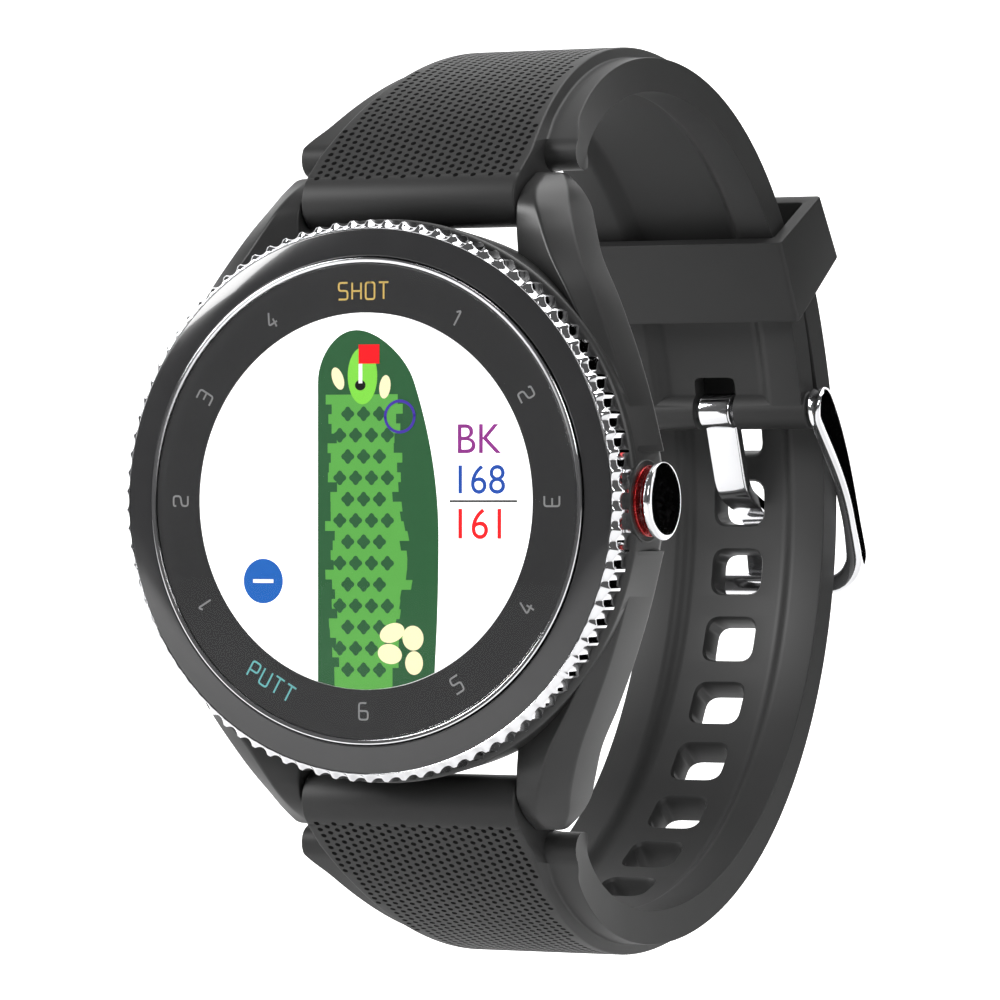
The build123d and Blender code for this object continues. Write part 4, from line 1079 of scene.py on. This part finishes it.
TONGUE_WIDTH = 3.1
TONGUE_THICKNESS = 1.1
tongue_line = eased_line([BUCKLE_BAR + (0.6, -1.0), (59.8, 0.8), (65.5, -1.3), (67.2, -8.3)], 1.6, 10)
walked = np.linalg.norm(np.diff(tongue_line, axis=0), axis=1)
tongue_line = tongue_line[np.concatenate([[True], walked > 1e-6])]
tongue = flat_bar("buckle_pin", tongue_line, TONGUE_WIDTH, TONGUE_THICKNESS, 0.22)
combine(tongue, cross_bar("eye", BUCKLE_BAR, 1.6, TONGUE_WIDTH / 2), "UNION")
combine(tongue, cross_bar("bore", BUCKLE_BAR, 0.95, 3.0, 0), "DIFFERENCE")
settle(tongue, steel, "tongue", "polished_steel", "buckle_tongue")

# %% [markdown]
# ## The side button
# A domed steel cap over a red ring. The cap is turned about its own axis, which points along +X.

# %% The cap
cap_low, cap_high = node_box("button_cap")
BUTTON_CAP = [
    (cap_high[0], 0.02), (cap_high[0] - 0.02, 1.2), (cap_high[0] - 0.14, 2.75), (cap_high[0] - 0.3, 3.13),
    (cap_low[0] + 0.4, 3.13), (cap_low[0] + 0.25, 2.9), (cap_low[0], 2.7), (cap_low[0], 0.85),
]


def around_button(name, corners, ease):
    """A closed (x, radius) outline, turned about the button's axis."""
    x, r = rounded(np.array(corners), ease, 5).T
    return spun(name, x, r, (0, *BUTTON_LINE), BAR_AXES, 128, True, 40)


cap = around_button("button_dome", BUTTON_CAP, [0, 0.9, 0.3, 0.12, 0.1, 0.1, 0.1, 0])
settle(cap, steel, "side_button", "polished_steel", "button_cap")
RED = [(BUTTON_FACE, 1.97), (BUTTON_FACE, 2.85), (BUTTON_FACE + 0.24, 2.85), (BUTTON_FACE + 0.24, 1.97)]
settle(around_button("red_ring", RED, 0.05), red, "watch", "red_anodised", "button_red_ring")

# %% [markdown]
# ## Studio
# A white sweep behind and under the watch, glowing as painted light, large soft lights, and a long lens from
# the right.

# %% The backdrop
SWEEP_NEAR = -900.0
SWEEP_DEPTH = 700.0
SWEEP_RADIUS = 250.0
SWEEP_HEIGHT = 900.0
SWEEP_HALF = 1400.0
bend_foot = SWEEP_DEPTH - SWEEP_RADIUS
floor_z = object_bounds()[0][2] / MM - 25
t = np.linspace(0, 1, 40)
bend = np.linspace(0, np.pi / 2, 24)
profile = np.vstack([
    np.column_stack([SWEEP_NEAR + t * (bend_foot - SWEEP_NEAR), np.full(t.size, floor_z)]),
    np.column_stack([bend_foot + SWEEP_RADIUS * np.sin(bend), floor_z + SWEEP_RADIUS * (1 - np.cos(bend))]),
    np.column_stack([np.full(t.size, SWEEP_DEPTH), floor_z + SWEEP_RADIUS + t * SWEEP_HEIGHT]),
])
wide = np.linspace(-SWEEP_HALF, SWEEP_HALF, 3)[None, :]
sweep = np.stack(np.broadcast_arrays(wide, profile[:, :1], profile[:, 1:]), -1)
mesh = mesh_from("sweep", sweep, grid_quads(*sweep.shape[:2]))
mesh.polygons.foreach_set("use_smooth", np.ones(len(mesh.polygons), bool))
backdrop = in_scene("sweep", mesh)
paper = Finish(
    "white paper", Base_Color=grey(0.8), Roughness=0.9, Emission_Strength=1.0, Specular_IOR_Level=0.1,
)
# The paper's emission is painted light: dim grey from the front up to 80 mm behind the watch (Y), rising to
# full white by 250 mm, so the floor near the watch stays dim and the far sweep glows white.
depth = paper.node("SeparateXYZ", {}, {0: paper.place()}, 1)
backdrop_glow_ramp = paper.node("MapRange", {}, {0: depth, 1: 0.08, 2: 0.25})
paper.set(Emission_Color=paper.mix(backdrop_glow_ramp, grey(0.12), grey(1.0)))
mesh.materials.append(paper.material)

# %% Dark cards
# Polished metal needs something dark to reflect: black cards stand outside the picture, unseen by the camera.
black = Finish("black card", Base_Color=grey(0.0), Roughness=1.0, Specular_IOR_Level=0.0)


def card(name, centre, across, up):
    """A flat rectangle with its middle at a point, spanned by two half sides in millimetres."""
    corners = np.array(centre) + SQUARE @ np.array([across, up])
    mesh = mesh_from(name, corners, [[0, 1, 2, 3]])
    mesh.materials.append(black.material)
    made = in_scene(name, mesh)
    made.visible_camera = False


card("card_right", (180, 300, 0), (125, -62, 0), (0, 0, 260))
card("card_front", (150, -330, 0), (60, 30, 0), (0, 0, 60))

# %% Lights
def aimed(place, way):
    """Matrix of a lamp or camera that stands at a place in millimetres and looks along a direction."""
    return Matrix.Translation(Vector(place) * MM) @ Vector(way).to_track_quat("-Z", "Y").to_matrix().to_4x4()


def softbox(name, position, target, size, power):
    """A square area light, at a position in millimetres, aimed at a target."""
    light = bpy.data.lights.new(name, "AREA")
    light.size = size * MM
    light.energy = power
    in_scene(name, light).matrix_world = aimed(position, Vector(target) - Vector(position))


softbox("key", (-470, -360, 300), (0, 0, 0), 300, 4.2)
softbox("fill", (420, -380, 260), (0, 0, 20), 220, 1.4)
softbox("top", (60, 160, 520), (10, 30, 0), 320, 1.8)
softbox("low", (60, -200, -420), (20, 20, 0), 300, 0.15)
world = bpy.data.worlds.new("studio")
world.use_nodes = True
world.node_tree.nodes["Background"].inputs["Color"].default_value = (1.0, 1.0, 1.0, 1.0)
world.node_tree.nodes["Background"].inputs["Strength"].default_value = 0.10
bpy.context.scene.world = world

# %% The camera
VIEW_TURN = np.radians(26.79)
CAMERA_DISTANCE = 480.0
FACE_CENTRE = np.array([0.0, -12.2, 0.0])
right = np.array([np.cos(VIEW_TURN), np.sin(VIEW_TURN), 0.0])
ahead = np.array([-np.sin(VIEW_TURN), np.cos(VIEW_TURN), 0.0])
aside, rise = 11.08, 0.09
position = FACE_CENTRE - ahead * CAMERA_DISTANCE + right * aside + (0, 0, rise)
lens_data = bpy.data.cameras.new("camera")
lens_data.lens = 214.4
lens_data.sensor_width = 36.0
lens_data.clip_start, lens_data.clip_end = 0.01, 10.0
camera = in_scene("camera", lens_data)
camera.matrix_world = aimed(position, ahead)
bpy.context.scene.camera = camera

# %% Finish
bpy.context.scene.view_settings.view_transform = "Standard"
